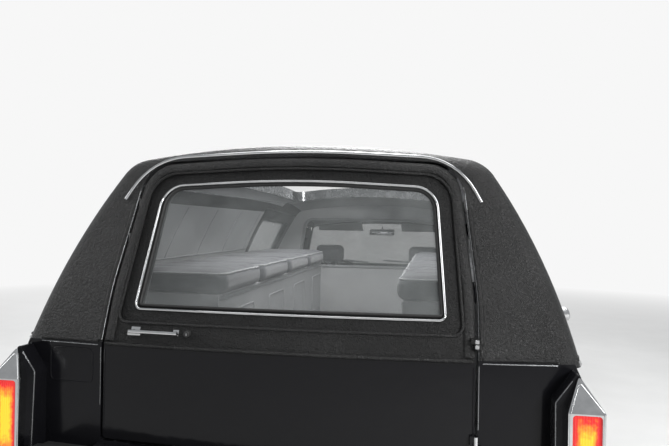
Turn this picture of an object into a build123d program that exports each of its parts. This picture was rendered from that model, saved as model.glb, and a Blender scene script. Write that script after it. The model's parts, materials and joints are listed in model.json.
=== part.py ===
from build123d import *
import math
import os

# An open-top hearse. Units are millimetres.
# X points to the vehicle's right, Y forward and Z up. The floor is Z 0 and the origin is midway along the vehicle.

# Overall sizes
FRONT_END = 3175
REAR_END = -3175
FRONT_AXLE = 2105
REAR_AXLE = -1575
TYRE_RADIUS = 367
TYRE_WIDTH = 235
RIM_RADIUS = 193
FRONT_TRACK = 1566
REAR_TRACK = 1542

# Body section
SILL_BOTTOM = 212
SILL_FLAT = 225
DOOR_BOTTOM = 330
CREASE_Z = 640
BELT_Z = 1000
SHOULDER_DROP = 105
DOOR_WALL = 85
PANEL_SKIN = 28
PILLAR_WALL = 45
PANEL_GAP = 6
FLOOR_Z = 350
FLOOR_THICK = 20
LOAD_FLOOR_Z = 700
DECK_HALF = 300
DECK_THICK = 10

# Lower body stations, evenly spaced: y, half width at the crease, shoulder inset, side height, centre height
LOWER_STATIONS = [
    (3070, 905, 30, 880, 905),
    (2190, 947, 37, 928, 955),
    (1310, 966, 42, 968, 990),
    (430, 971, 43, 989, 1003),
    (-450, 972, 45, 1000, 1010),
    (-1330, 968, 49, 1002, 1011),
    (-2210, 960, 54, 1001, 1010),
    (-3080, 948, 58, 1000, 1010),
]

# Upper body stations, evenly spaced: y, half width at the belt, roof height, x of the corner arc's centre
UPPER_STATIONS = [
    (1500, 900, 1300, 560),
    (725, 908, 1481, 571),
    (-40, 921, 1632, 572),
    (-805, 929, 1684, 570),
    (-1565, 930, 1693, 567),
    (-2325, 925, 1692, 564),
    (-3080, 916, 1688, 560),
]
UPPER_BASE_Z = 930
ROOF_CROWN_RADIUS = 3500
ROOF_CORNER_RADIUS = 130
SIDE_BOW_RADIUS = 1900

# Tail surface: a shallow arc in plan, upright below the belt and leaning forward above it
TAIL_Y = -3012
TAIL_ARC_RADIUS = 6500
TAIL_LEAN = 0.36
TAIL_WALL = 60
TAIL_EDGE_RADIUS = 70

# Windscreen surface: an arc in plan, leaning back
SCREEN_BASE_Y = 1405
SCREEN_BASE_Z = 975
SCREEN_ARC_RADIUS = 3300
SCREEN_LEAN = -1.27
SCREEN_WALL = 34

# Side openings, in side view
DOOR_FRONT_Y = 1330
PILLAR_FRONT_Y = 140
PILLAR_REAR_Y = 60
REAR_DOOR_END_Y = -760

# Tailgate, seen from behind
TAILGATE_HALF = 600
TAILGATE_BOTTOM = 692
TAILGATE_GAP = 9
TAILGATE_TOP = 1640
TAILGATE_SKIN = 20
TAILGATE_STEP = 14

# Interior
BENCH_INNER = 360
BENCH_TOP = 1124
BENCH_REAR_Y = -2560
BENCH_FRONT_Y = -330
CUSHION_INNER = 313
CUSHION_THICK = 96

os.makedirs("parts", exist_ok=True)


def save(name, shape):
    """Write one node; the shape may hold several solids."""
    solids = shape.solids()
    export_step(Compound(children=list(solids)) if len(solids) > 1 else solids[0], f"parts/{name}.step")


def rounded_face(corners, place):
    """A face from corners (u, v, radius) joined by straight lines and tangent arcs; place maps u, v to a point."""
    arcs = []
    count = len(corners)
    for i, (u, v, radius) in enumerate(corners):
        here = Vector(u, v)
        back = (Vector(*corners[i - 1][:2]) - here).normalized()
        ahead = (Vector(*corners[(i + 1) % count][:2]) - here).normalized()
        if radius <= 0:
            arcs.append((here, here, here))
            continue
        half = math.radians(back.get_angle(ahead)) / 2
        reach = radius / math.tan(half)
        centre = here + (back + ahead).normalized() * (radius / math.sin(half))
        middle = centre + (here - centre).normalized() * radius
        arcs.append((here + back * reach, middle, here + ahead * reach))
    edges = []
    for i, (start, middle, end) in enumerate(arcs):
        if (end - start).length > 1e-6:
            edges.append(ThreePointArc(place(*tuple(start)[:2]), place(*tuple(middle)[:2]), place(*tuple(end)[:2])))
        following = arcs[(i + 1) % count][0]
        if (following - end).length > 1e-6:
            edges.append(Line(place(*tuple(end)[:2]), place(*tuple(following)[:2])))
    return Face(Wire(edges))


def with_radius(points, radius):
    """Give every corner of an outline the same radius."""
    return [(u, v, radius) for u, v in points]


def prism_x(corners, x0, x1):
    """Extrude a side-view outline of (y, z, radius) across the vehicle."""
    return extrude(rounded_face(corners, lambda u, v: (x0, u, v)), amount=x1 - x0, dir=(1, 0, 0))


def prism_y(corners, y0, y1):
    """Extrude a rear-view outline of (x, z, radius) along the vehicle."""
    return extrude(rounded_face(corners, lambda u, v: (u, y0, v)), amount=y1 - y0, dir=(0, 1, 0))


def prism_z(corners, z0, z1):
    """Extrude a plan outline of (x, y, radius) upwards."""
    return extrude(rounded_face(corners, lambda u, v: (u, v, z0)), amount=z1 - z0, dir=(0, 0, 1))


def block(x0, x1, y0, y1, z0, z1):
    """A box from its limits."""
    return Pos((x0 + x1) / 2, (y0 + y1) / 2, (z0 + z1) / 2) * Box(x1 - x0, y1 - y0, z1 - z0)


def rod_x(radius, x0, x1, y, z):
    """A round bar across the vehicle."""
    return Pos((x0 + x1) / 2, y, z) * Rot(0, 90, 0) * Cylinder(radius, x1 - x0)


def rod_y(radius, y0, y1, x, z):
    """A round bar along the vehicle."""
    return Pos(x, (y0 + y1) / 2, z) * Rot(90, 0, 0) * Cylinder(radius, y1 - y0)


def rod_between(radius, start, end):
    """A round bar between two points."""
    axis = Vector(*end) - Vector(*start)
    base = Plane(origin=start, z_dir=axis)
    return extrude(base * Circle(radius), amount=axis.length, dir=tuple(axis.normalized()))


def other_side(shape):
    """The same piece on the other side of the vehicle."""
    return mirror(shape, about=Plane.YZ)


def both(shape):
    """A piece and its mirror image."""
    return shape + other_side(shape)


# Body surfaces


def lower_section(y, half, shoulder, side_z, centre_z, inset, drop, bottom):
    """One closed section of the body below the belt."""
    half -= inset
    side_z -= drop
    centre_z -= drop
    sill = (half * 0.93, bottom)
    tuck = (half - 14, 345)
    crease = (half, CREASE_Z)
    haunch = (half - 10, side_z - SHOULDER_DROP)
    edge = (half - shoulder, side_z)
    right = [(x, y, z) for x, z in (sill, tuck, crease, haunch, edge)]
    left = [(-x, y, z) for x, y, z in right]
    edges = [
        Line(left[0], right[0]),
        Line(right[0], right[1]),
        ThreePointArc(right[1], right[2], right[3]),
        Line(right[3], right[4]),
        ThreePointArc(right[4], (0, y, centre_z), left[4]),
        Line(left[4], left[3]),
        ThreePointArc(left[3], left[2], left[1]),
        Line(left[1], left[0]),
    ]
    return Face(Wire(edges))


def lower_body(inset=0, drop=0, bottom=SILL_BOTTOM):
    """The body below the belt as one solid, shrunk by a wall thickness where asked."""
    return loft([lower_section(*station, inset, drop, bottom) for station in LOWER_STATIONS])


def upper_section(y, half, roof_z, corner_x, inset):
    """One closed section of the body above the belt: side arc, corner arc and crown arc, all tangent."""
    crown, corner, side = (r - inset for r in (ROOF_CROWN_RADIUS, ROOF_CORNER_RADIUS, SIDE_BOW_RADIUS))
    crown_z = roof_z - ROOF_CROWN_RADIUS
    corner_z = crown_z + math.sqrt((crown - corner) ** 2 - corner_x**2)
    # The side arc's centre is one radius from the belt point, and from the corner's centre the corner's radius less.
    belt = (half - inset, BELT_Z)
    apart = math.dist(belt, (corner_x, corner_z))
    along = (side**2 - (side - corner) ** 2 + apart**2) / (2 * apart)
    across = math.sqrt(side**2 - along**2)
    ux, uz = (corner_x - belt[0]) / apart, (corner_z - belt[1]) / apart
    side_x = belt[0] + along * ux - across * uz
    side_z = belt[1] + along * uz + across * ux

    def on(centre, through, radius):
        reach = math.dist(centre, through)
        return tuple(c + (t - c) / reach * radius for c, t in zip(centre, through))

    cant = on((side_x, side_z), (corner_x, corner_z), side)
    roof = on((0, crown_z), (corner_x, corner_z), crown)
    base_angle = math.asin((UPPER_BASE_Z - side_z) / side)
    base = (side_x + side * math.cos(base_angle), UPPER_BASE_Z)
    side_mid = on((side_x, side_z), ((base[0] + cant[0]) / 2, (base[1] + cant[1]) / 2), side)
    corner_mid = on((corner_x, corner_z), ((cant[0] + roof[0]) / 2, (cant[1] + roof[1]) / 2), corner)
    r, l = (lambda p: (p[0], y, p[1])), (lambda p: (-p[0], y, p[1]))
    edges = [
        Line(l(base), r(base)),
        ThreePointArc(r(base), r(side_mid), r(cant)),
        ThreePointArc(r(cant), r(corner_mid), r(roof)),
        ThreePointArc(r(roof), (0, y, roof_z - inset), l(roof)),
        ThreePointArc(l(roof), l(corner_mid), l(cant)),
        ThreePointArc(l(cant), l(side_mid), l(base)),
    ]
    return Face(Wire(edges))


def upper_body(inset=0):
    """The body above the belt as one solid, before the windscreen and tail are cut."""
    return loft([upper_section(*station, inset) for station in UPPER_STATIONS])


def arc_slab(y_centre, z, radius, lean, far_y, height):
    """Everything beyond a surface that is an arc in plan and leans by lean for each unit of height."""
    wide = 1150
    bend = wide**2 / (2 * radius)
    ends = y_centre + bend if far_y < y_centre else y_centre - bend
    edges = [
        ThreePointArc((-wide, ends, z), (0, y_centre, z), (wide, ends, z)),
        Line((wide, ends, z), (wide, far_y, z)),
        Line((wide, far_y, z), (-wide, far_y, z)),
        Line((-wide, far_y, z), (-wide, ends, z)),
    ]
    slope = Vector(0, lean, 1)
    return extrude(Face(Wire(edges)), amount=height * slope.length, dir=tuple(slope.normalized()))


def behind_tail(offset=0):
    """Space behind the leaning tail surface moved forward by offset, above the belt."""
    below = 140
    return arc_slab(TAIL_Y + offset - below * TAIL_LEAN, BELT_Z - below, TAIL_ARC_RADIUS, TAIL_LEAN, -4200, 1000)


def behind_lower_tail(offset=0, top=BELT_Z):
    """Space behind the upright tail surface moved forward by offset."""
    return arc_slab(TAIL_Y + offset, 100, TAIL_ARC_RADIUS, 0, -3700, top - 100)


def ahead_of_screen(offset=0):
    """Space ahead of the windscreen surface moved back by offset."""
    below = 60
    return arc_slab(
        SCREEN_BASE_Y - offset - below * SCREEN_LEAN, SCREEN_BASE_Z - below, SCREEN_ARC_RADIUS, SCREEN_LEAN, 2600, 850
    )


def upper_outer():
    """The glasshouse's outside, with its rear edge rounded."""
    shape = upper_body() - behind_tail() - ahead_of_screen()
    tail_face = min(shape.faces(), key=lambda f: f.center().Y)
    edges = [e for e in tail_face.edges() if e.center().Z > UPPER_BASE_Z + 5]
    try:
        return fillet(edges, TAIL_EDGE_RADIUS)
    except Exception:
        print("tail edge left sharp")
        return shape


def upper_shell():
    """The glasshouse as a hollow shell: sides and roof one wall thick, with a tail wall and a screen wall."""
    hollow = upper_body(PILLAR_WALL) - behind_tail(TAIL_WALL) - ahead_of_screen(SCREEN_WALL)
    return UPPER_OUTER - hollow - LOWER_OUTER


def lower_shell():
    """The lower body's side walls and tail wall, with no top or floor."""
    outer = LOWER_OUTER - behind_lower_tail(top=1100)
    hollow = lower_body(DOOR_WALL, -80, SILL_BOTTOM - 80) - behind_lower_tail(DOOR_WALL, top=1200)
    return outer - hollow


def interior(gap=0.5):
    """The room inside the body's walls, held off them by a small gap."""
    split = 1012
    above = upper_body(PILLAR_WALL + gap) - behind_tail(TAIL_WALL + gap) - block(-1200, 1200, -3400, 1700, 800, split)
    below = lower_body(DOOR_WALL + gap, -80, 240) - behind_lower_tail(DOOR_WALL + gap, top=1200)
    return above + (below - block(-1200, 1200, -3400, 3300, split, 1300))


# Outlines in side view, as (y, z, corner radius)


def front_door_outline(grow=0):
    """The front door: its forward edge follows the windscreen pillar above the belt."""
    g = grow
    return [
        (DOOR_FRONT_Y + g, DOOR_BOTTOM - g, 12),
        (DOOR_FRONT_Y + g, 972 + g, 8),
        (1208 + g, 978 + g, 8),
        (748 + g, 1340 + g, 60),
        (PILLAR_FRONT_Y - g, 1462 + g, 14),
        (PILLAR_FRONT_Y - g, DOOR_BOTTOM - g, 12),
    ]


def rear_door_outline(grow=0):
    """The rear side door."""
    g = grow
    return [
        (PILLAR_REAR_Y + g, DOOR_BOTTOM - g, 12),
        (PILLAR_REAR_Y + g, 1474 + g, 14),
        (REAR_DOOR_END_Y - g, 1512 + g, 60),
        (REAR_DOOR_END_Y - g, DOOR_BOTTOM - g, 40),
    ]


FRONT_DOOR_WINDOW = [(1100, 1022, 25), (735, 1290, 45), (192, 1402, 30), (192, 1022, 25)]
REAR_DOOR_WINDOW = [(8, 1022, 25), (8, 1412, 30), (-700, 1446, 60), (-700, 1022, 35)]


def tailgate_outline(grow=0):
    """The tailgate seen from behind, as (x, z, corner radius)."""
    half, g = TAILGATE_HALF, grow
    right = [(half + g, TAILGATE_BOTTOM - g, 12), (half + g, 1180, 900), (548 + g, 1612 + g, 115)]
    left = [(-x, z, r) for x, z, r in reversed(right)]
    return right + [(0, 1646 + g, 4000)] + left


TAILGATE_WINDOW = [(507, 1121, 14), (474, 1530, 76), (0, 1555, 4000), (-474, 1530, 76), (-507, 1121, 14)]
TAILGATE_RECESS = [(566, 1076, 30), (524, 1576, 100), (0, 1604, 4000), (-524, 1576, 100), (-566, 1076, 30)]
SCREEN_OPENING = [(812, 1012, 40), (650, 1408, 60), (0, 1442, 4000), (-650, 1408, 60), (-812, 1012, 40)]
ROOF_OPENING = [(540, -2525, 90), (540, -420, 90), (-540, -420, 90), (-540, -2525, 90)]


def jamb_relief(x_belt, y_edge, lean_per_z, slope_in, depth=130):
    """A wedge that thins a door's closing edge towards the inside, so that it can swing past its jamb."""
    shift = slope_in * depth
    plan = [(x_belt, y_edge, 0), (x_belt - depth, y_edge, 0), (x_belt - depth, y_edge + shift, 0)]
    face = rounded_face(plan, lambda u, v: (u, v, BELT_Z))
    slope = Vector(-lean_per_z, 0, 1)
    up = extrude(face, amount=600 * slope.length, dir=tuple(slope.normalized()))
    down = extrude(Pos(50, 0, 0) * face, amount=800, dir=(0, 0, -1))
    return up + down


def side_door(outline, window, closing_y, slope_in):
    """One right-hand side door, its wall as thick as the real door, with the window cut through."""
    span = prism_x(outline, 560, 1050)
    leaf = (LOWER_SHELL & span) + (UPPER_SHELL & span)
    return leaf - prism_x(window, 500, 1050) - jamb_relief(930, closing_y - 0.5, 0.42, slope_in)


def side_glass(window):
    """Curved glass that fills a side window."""
    pane = UPPER_PANE_OUTER - UPPER_PANE_INNER
    return pane & prism_x(window, 500, 1050)


def door_mirror():
    """A door mirror housing on its arm, at the front corner of the right-hand window."""
    head = fillet(block(985, 1125, 1062, 1122, 1010, 1118).edges(), 20)
    arm = rod_between(13, (893, 1122, 1002), (1010, 1100, 1046))
    return head + arm


def front_door():
    """The right-hand front door with its mirror, pull handle and window opening."""
    leaf = side_door(front_door_outline(), FRONT_DOOR_WINDOW, PILLAR_FRONT_Y, 0.30)
    leaf = leaf - block(500, 850, 1195, 1400, 900, 990)
    handle = fillet(block(968, 984, 215, 365, 838, 862).edges(), 6)
    posts = block(955, 974, 225, 245, 842, 858) + block(955, 974, 335, 355, 842, 858)
    return leaf + door_mirror() + handle + posts


def rear_door():
    """The right-hand rear side door with its pull handle."""
    leaf = side_door(rear_door_outline(), REAR_DOOR_WINDOW, REAR_DOOR_END_Y, 0.44)
    handle = fillet(block(969, 985, -690, -540, 858, 882).edges(), 6)
    posts = block(955, 975, -680, -660, 862, 878) + block(955, 975, -570, -550, 862, 878)
    return leaf + handle + posts


# Body panels


def sills_and_pillars():
    """The rocker panel below the doors and the pillar between them, both sides."""
    sill = LOWER_OUTER & block(845, 1100, REAR_DOOR_END_Y - 7, DOOR_FRONT_Y + 7, SILL_FLAT, DOOR_BOTTOM - 7)
    column = block(560, 1050, PILLAR_REAR_Y + 7, PILLAR_FRONT_Y - 7, DOOR_BOTTOM - 8, 1468)
    post = (LOWER_SHELL & column) + (UPPER_SHELL & column)
    foot = block(845, 930, PILLAR_REAR_Y + 7, PILLAR_FRONT_Y - 7, DOOR_BOTTOM - 8, 420)
    return both(sill + post + foot)


def roof_panel():
    """The roof, its side rails and its rear header, with the long opening cut through it."""
    keep_above = [
        (700, 1380, 0),
        (790, 1700, 0),
        (-3300, 1800, 0),
        (-3300, 1503, 0),
        (REAR_DOOR_END_Y - 7, 1519, 0),
        (PILLAR_REAR_Y + 7, 1481, 0),
        (PILLAR_FRONT_Y - 7, 1469, 0),
    ]
    shell = UPPER_SHELL & prism_x(keep_above, -1000, 1000)
    doors = prism_x(front_door_outline(7), -1100, 1100) + prism_x(rear_door_outline(7), -1100, 1100)
    tail_door = prism_y(tailgate_outline(TAILGATE_GAP), -3200, -2600) & behind_tail(TAIL_WALL + 12)
    return shell - doors - tail_door - prism_z(ROOF_OPENING, 1300, 1900)


def roof_opening_rim():
    """The raised lip round the roof opening; it follows the roof's curve."""
    lip = upper_body(-12) - upper_body(PILLAR_WALL + 10)
    middle_y = (ROOF_OPENING[0][1] + ROOF_OPENING[1][1]) / 2

    def ring(inset):
        def inward(value, middle):
            return value - math.copysign(inset, value - middle)

        moved = [(inward(x, 0), inward(y, middle_y), r - inset) for x, y, r in ROOF_OPENING]
        return prism_z(moved, 1300, 1900)

    return lip & (ring(0.3) - ring(14))


def screen_surround():
    """Windscreen pillars, header and base as one frame, with the cowl in front of the base."""
    keep = [(1700, 940), (1700, 1500), (790, 1700), (700, 1380), (740, 1340), (1200, 979), (1200, 940)]
    frame = UPPER_SHELL & prism_x(with_radius(keep, 0), -1000, 1000)
    frame = frame - prism_x(front_door_outline(7), -1100, 1100) - prism_y(SCREEN_OPENING, 500, 1700)
    frame = frame - both(block(840, 1100, 1100, 1700, 900, 986))
    room = block(-700, 700, 1190, 1396, 900, 1050) + block(-828, 828, 1190, DOOR_FRONT_Y, 900, 1050)
    cowl = (LOWER_OUTER - Pos(0, 0, -24) * LOWER_OUTER) & room
    return frame - block(-1000, 1000, 1396, 1700, 900, 1200) + cowl


def screen_glass():
    """The curved windscreen."""
    pane = ahead_of_screen(16) - ahead_of_screen(9)
    return pane & prism_y(SCREEN_OPENING, 500, 1700)


def upper_quarters():
    """The closed padded panels behind the rear doors, from the belt to the roof rail, both sides."""
    region = [(REAR_DOOR_END_Y - 7, 990, 0), (REAR_DOOR_END_Y - 7, 1519, 0), (-3300, 1503, 0), (-3300, 990, 0)]
    panels = UPPER_SHELL & prism_x(region, 500, 1100)
    return both(panels - prism_y(tailgate_outline(TAILGATE_GAP), -3200, -2600))


def wheel_arch(y, top, half, radius):
    """The opening cut in the skin round a wheel."""
    outline = [(y + half, 100, 0), (y + half, top, radius), (y - half, top, radius), (y - half, 100, 0)]
    return prism_x(outline, 860, 1100)


def wheelhouse(y, radius, inner_x, outer_x, inner_cut):
    """An arched liner over a wheel, closed on its inner side above the suspension."""
    arch = rod_x(radius + 12, inner_x, outer_x, y, TYRE_RADIUS)
    arch = arch - rod_x(radius, inner_x + 12, outer_x + 1, y, TYRE_RADIUS)
    arch = arch - block(inner_x - 5, outer_x + 5, y - 600, y + 600, 0, inner_cut)
    return arch - block(inner_x - 5, inner_x + 13, y - 250, y + 250, 0, 600)


REAR_POCKET = 400
FRONT_POCKET = 442


def tail_fin():
    """The right-hand fin that ends the shoulder line and carries the tail lamp."""
    gable = [(822, 618, 0), (822, 905, 12), (886, 993, 8), (948, 893, 12), (948, 618, 10)]
    fin = prism_y(gable, -3040, -2880)
    lean = [(-3150, 500, 0), (-3038, 500, 0), (-3014, 1000, 0), (-3150, 1000, 0)]
    return fin - prism_x(lean, 800, 1000)


def lower_quarters():
    """Rear quarters below the belt with the wheel openings, the tail panel beside the tailgate and the fins."""
    wall = LOWER_SHELL & block(500, 1100, -3300, REAR_DOOR_END_Y - 7, SILL_FLAT, 1100)
    wall = wall - prism_y(tailgate_outline(TAILGATE_GAP), -3200, -2600) - block(0, 900, -3300, -2900, 0, 430)
    quarter = wall + tail_fin()
    quarter = quarter - wheel_arch(REAR_AXLE, 672, 405, 190) - rod_x(REAR_POCKET, 600, 930, REAR_AXLE, TYRE_RADIUS)
    tail_cut = [(-2020, 200, 0), (-3300, 200, 0), (-3300, 430, 0)]
    tail_cut += [(-2960, 430, 0), (-2840, 318, 60), (-2020, 262, 40)]
    quarter = quarter - prism_x(tail_cut, 500, 1100)
    liner = wheelhouse(REAR_AXLE, REAR_POCKET, 628, 900, 330) & block(600, 900, -2100, -1000, 0, 900)
    return both(quarter + liner)


def fenders():
    """Front wings: a skin with its top ledge, the wheel opening and a liner over the wheel."""
    hollow = lower_body(PANEL_SKIN, PANEL_SKIN, SILL_BOTTOM - 80)
    skin = (LOWER_OUTER - hollow) & block(707, 1100, DOOR_FRONT_Y + 7, 3008, SILL_FLAT, 1100)
    rear_flange = lower_body(PANEL_SKIN, PANEL_SKIN) & block(862, 1100, DOOR_FRONT_Y + 8, DOOR_FRONT_Y + 22, 230, 950)
    skin = skin - wheel_arch(FRONT_AXLE, 738, 412, 230)
    liner = wheelhouse(FRONT_AXLE, FRONT_POCKET, 470, 940, 330)
    liner = liner & (lower_body(PANEL_SKIN - 2, PANEL_SKIN) & block(400, 1000, 1500, 2800, 240, 1000))
    cut_low = [(2520, 200, 0), (3100, 200, 0), (3100, 430, 0), (2600, 430, 0)]
    return both(skin + liner - prism_x(cut_low, 500, 1100)) + both(rear_flange)


def hood():
    """The bonnet, with a raised centre crease."""
    skin = (LOWER_OUTER - Pos(0, 0, -26) * LOWER_OUTER) & block(-700, 700, 1402, 3001, 700, 1100)
    # Ridge stations: y, skin height, half width, rise
    ridge = []
    for y, z, half, rise in ((1432, 987, 46, 15), (2200, 955, 35, 13), (2996, 910, 20, 9)):
        outline = [(-half, z), (0, z + rise), (half, z), (half, z - 16), (-half, z - 16)]
        ridge.append(Face(Wire.make_polygon([(u, y, v) for u, v in outline])))
    return skin + loft(ridge)


LAMP_POCKETS = [(424, 618), (640, 834)]
LAMP_LOW, LAMP_HIGH = 664, 796
GRILLE_HALF, GRILLE_LOW, GRILLE_HIGH = 352, 600, 846


def nose_panel():
    """The panel across the front that holds the grille and headlamps."""
    plate = LOWER_OUTER & block(-1000, 1000, 3010, 3100, 598, 1000)
    plate += block(-830, 830, 3010, 3034, 440, 600)
    bezel = block(LAMP_POCKETS[0][0] - 12, LAMP_POCKETS[1][1] + 12, 3060, 3086, LAMP_LOW - 12, LAMP_HIGH + 12)
    plate += both(chamfer(bezel.faces().sort_by(Axis.Y)[-1].edges(), 8))
    plate = plate - block(-GRILLE_HALF, GRILLE_HALF, 2990, 3100, GRILLE_LOW, GRILLE_HIGH)
    for x0, x1 in LAMP_POCKETS:
        plate = plate - both(block(x0, x1, 2990, 3100, LAMP_LOW, LAMP_HIGH))
    return plate


def headlamps():
    """Four rectangular headlamps, two a side, each a convex lens on a plain case."""
    lamps = []
    for x0, x1 in LAMP_POCKETS:
        case = block(x0 + 1, x1 - 1, 2975, 3052, LAMP_LOW + 1, LAMP_HIGH - 1)
        face = block(x0 + 10, x1 - 10, 3040, 3072, LAMP_LOW + 10, LAMP_HIGH - 10)
        lamps.append(case + chamfer(face.faces().sort_by(Axis.Y)[-1].edges(), 7))
    return Compound(children=[s for lamp in lamps for s in both(lamp).solids()])


def grille():
    """The radiator grille: a bright frame filled with thin upright and level bars."""
    frame = block(-GRILLE_HALF + 1, GRILLE_HALF - 1, 3030, 3104, GRILLE_LOW + 1, GRILLE_HIGH - 1)
    frame = frame - block(-GRILLE_HALF + 24, GRILLE_HALF - 24, 3000, 3110, GRILLE_LOW + 18, GRILLE_HIGH - 40)
    header = [(3071, GRILLE_HIGH - 44), (3118, GRILLE_HIGH - 44), (3122, GRILLE_HIGH - 12), (3100, GRILLE_HIGH + 14)]
    header = prism_x(with_radius(header + [(3071, GRILLE_HIGH + 14)], 0), -GRILLE_HALF - 8, GRILLE_HALF + 8)
    back = block(-GRILLE_HALF + 10, GRILLE_HALF - 10, 3020, 3034, GRILLE_LOW + 8, GRILLE_HIGH - 8)
    bars = back + frame + header
    uprights = 23
    for i in range(uprights):
        x = (i - (uprights - 1) / 2) * (2 * GRILLE_HALF - 48) / uprights
        bars += block(x - 3, x + 3, 3032, 3096, GRILLE_LOW + 16, GRILLE_HIGH - 38)
    levels = 6
    for i in range(1, levels):
        z = GRILLE_LOW + 18 + i * (GRILLE_HIGH - GRILLE_LOW - 58) / levels
        bars += block(-GRILLE_HALF + 22, GRILLE_HALF - 22, 3032, 3090, z - 3, z + 3)
    return bars


def bumper(end, inward, low, high, half, wrap_y):
    """A bumper bar that wraps round the corners, with a proud middle band; inward is the sign towards the middle."""
    thick, step, lip = 56, 12, 32
    s = inward

    def plan(inset):
        outer = [(half - inset, wrap_y, 0), (half - inset, end + s * 78, 80), (430, end + s * inset, 900)]
        inner = [(half - 24, wrap_y, 0), (half - 26, end + s * (78 + thick), 40), (430, end + s * thick, 900)]
        left_outer = [(-x, y, r) for x, y, r in reversed(outer)]
        left_inner = [(-x, y, r) for x, y, r in inner]
        return outer + left_outer + left_inner + list(reversed(inner))

    return prism_z(plan(step), low, high) + prism_z(plan(0), low + lip, high - lip)


def front_bumper():
    """Front bumper with its two brackets to the frame."""
    brackets = both(block(296, 364, 3034, FRONT_END - 40, 470, 540))
    return bumper(FRONT_END, -1, 410, 590, 958, 2560) + brackets


def rear_bumper():
    """Rear bumper with its two brackets to the frame and the filler under the tailgate."""
    brackets = both(block(296, 364, REAR_END + 40, -2960, 470, 550))
    filler = block(-815, 815, -3130, -3014, 600, 668)
    return bumper(REAR_END, 1, 440, 612, 981, -2600) + brackets + filler


LENS = [(864, 632, 8), (864, 884, 10), (944, 884, 10), (944, 632, 8)]


def tail_lamps():
    """Upright tail lamp lenses on the fins, both sides."""
    return both(prism_y(LENS, -3056, -3022) - FIN_RIGHT)


def lamp_bezels():
    """Bright surrounds of the tail lamps, rising to a pointed cap on the fin's end."""
    outline = [(852, 618, 8), (852, 890, 10), (888, 986, 5), (953, 893, 10), (953, 618, 8)]
    body = prism_y(outline, -3066, -3010)
    lean = [(-3200, 600, 0), (-3062, 600, 0), (-3062, 888, 0), (-3020, 990, 0), (-3200, 990, 0)]
    body = body - prism_x(lean, 800, 1000) - FIN_RIGHT
    return both(body - prism_y(LENS, -3100, -3000))


def tailgate():
    """The tail door, hinged on the right: upright below the belt, leaning and padded above, with its window."""
    skin = prism_y(tailgate_outline(), -3200, -2600)
    core = prism_y(tailgate_outline(-TAILGATE_STEP), -3200, -2600)
    low = LOWER_SHELL & block(-1000, 1000, -3200, -2700, 200, 1100)
    high = UPPER_SHELL & behind_tail(TAIL_WALL)
    leaf = (low & core) + (high & core)
    leaf += (low & skin & behind_lower_tail(TAILGATE_SKIN, top=1100)) + (high & skin & behind_tail(TAILGATE_SKIN))
    leaf = leaf - prism_y(TAILGATE_WINDOW, -3200, -2500)
    leaf = leaf - ((behind_tail(7) - behind_tail(-40)) & prism_y(TAILGATE_RECESS, -3300, -2600))
    for z, reach, tall in HINGES:
        leaf += Pos(HINGE_X, HINGE_Y, z + 1 + tall / 2) * Cylinder(7, tall)
        leaf += block(HINGE_X - 18, HINGE_X, HINGE_Y - 3, HINGE_Y + reach, z + 1, z + 1 + tall)
    return leaf


HINGE_X = TAILGATE_HALF + 4.5
HINGE_Y = TAIL_Y + HINGE_X**2 / (2 * TAIL_ARC_RADIUS) - 9
# Hinges, as (height between the two halves, depth of the leaves, height of each half)
HINGES = [(752, 16, 30), (1057, 46, 14)]


def fixed_hinge_leaf(z, reach, tall):
    """The half of a tailgate hinge that stays on the right-hand pillar."""
    barrel = Pos(HINGE_X, HINGE_Y, z - 1 - tall / 2) * Cylinder(7, tall)
    return barrel + block(HINGE_X, HINGE_X + 18, HINGE_Y - 3, HINGE_Y + reach, z - 1 - tall, z - 1)


def tailgate_glass():
    """The tail door's window."""
    pane = behind_tail(26) - behind_tail(19)
    return pane & prism_y(TAILGATE_WINDOW, -3200, -2500)


def tailgate_handle():
    """The pull bar on the closing side with its lock button."""
    y = TAIL_Y + 420**2 / (2 * TAIL_ARC_RADIUS) + (1049 - BELT_Z) * TAIL_LEAN
    bar = rod_between(6, (-508, y - 14, 1049), (-338, y - 22, 1049))
    posts = rod_y(5, y - 16, y + 12, -498, 1049) + rod_y(5, y - 22, y + 12, -348, 1049)
    cup = block(-514, -470, y - 10, y + 12, 1036, 1044)
    button = rod_y(9, y - 16, y + 12, -306, 1049)
    return bar + posts + cup + button - behind_tail_front()


def behind_tail_front():
    """Everything ahead of the leaning tail surface."""
    return block(-700, 700, -3100, -2700, 1010, 1090) - behind_tail()


def landau_bars():
    """S-shaped irons on the closed upper quarters, both sides."""
    under = [(-2700, 1098, 18), (-2480, 1102, 120), (-2080, 1282, 300), (-1620, 1424, 160), (-1440, 1424, 16)]
    over = [(-1440, 1462, 16), (-1660, 1470, 120), (-2120, 1340, 300), (-2500, 1140, 160), (-2700, 1136, 18)]
    ribbon = under + over
    gap = upper_body(-12)
    iron = (upper_body(-28) - gap) & prism_x(ribbon, 600, 1100)
    for y, z in ((-2668, 1117), (-1470, 1443), (-2090, 1311)):
        iron += (upper_body(-34) - upper_body(0)) & rod_x(24, 600, 1100, y, z)
    return both(iron)


# Underbody and running gear


def chassis_frame():
    """Two box rails, kicked up over the rear axle, joined by crossmembers."""
    front = [(3010, 560, 0), (2550, 560, 60), (2380, 430, 60), (1300, 303, 60)]
    rear = [(-820, 303, 60), (-1180, 520, 60), (-1980, 520, 60), (-2240, 560, 60), (-2960, 560, 0)]
    top = front + rear
    bottom = [(y, z - 100, r) for y, z, r in reversed(top)]
    rail = prism_x(top + bottom, 290, 370)
    frame = both(rail)
    for y, z in ((2140, 330), (620, 206), (-560, 206), (-1130, 410), (-2120, 456), (-2900, 465)):
        frame += block(-295, 295, y - 40, y + 40, z, z + 74)
    return frame


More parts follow.
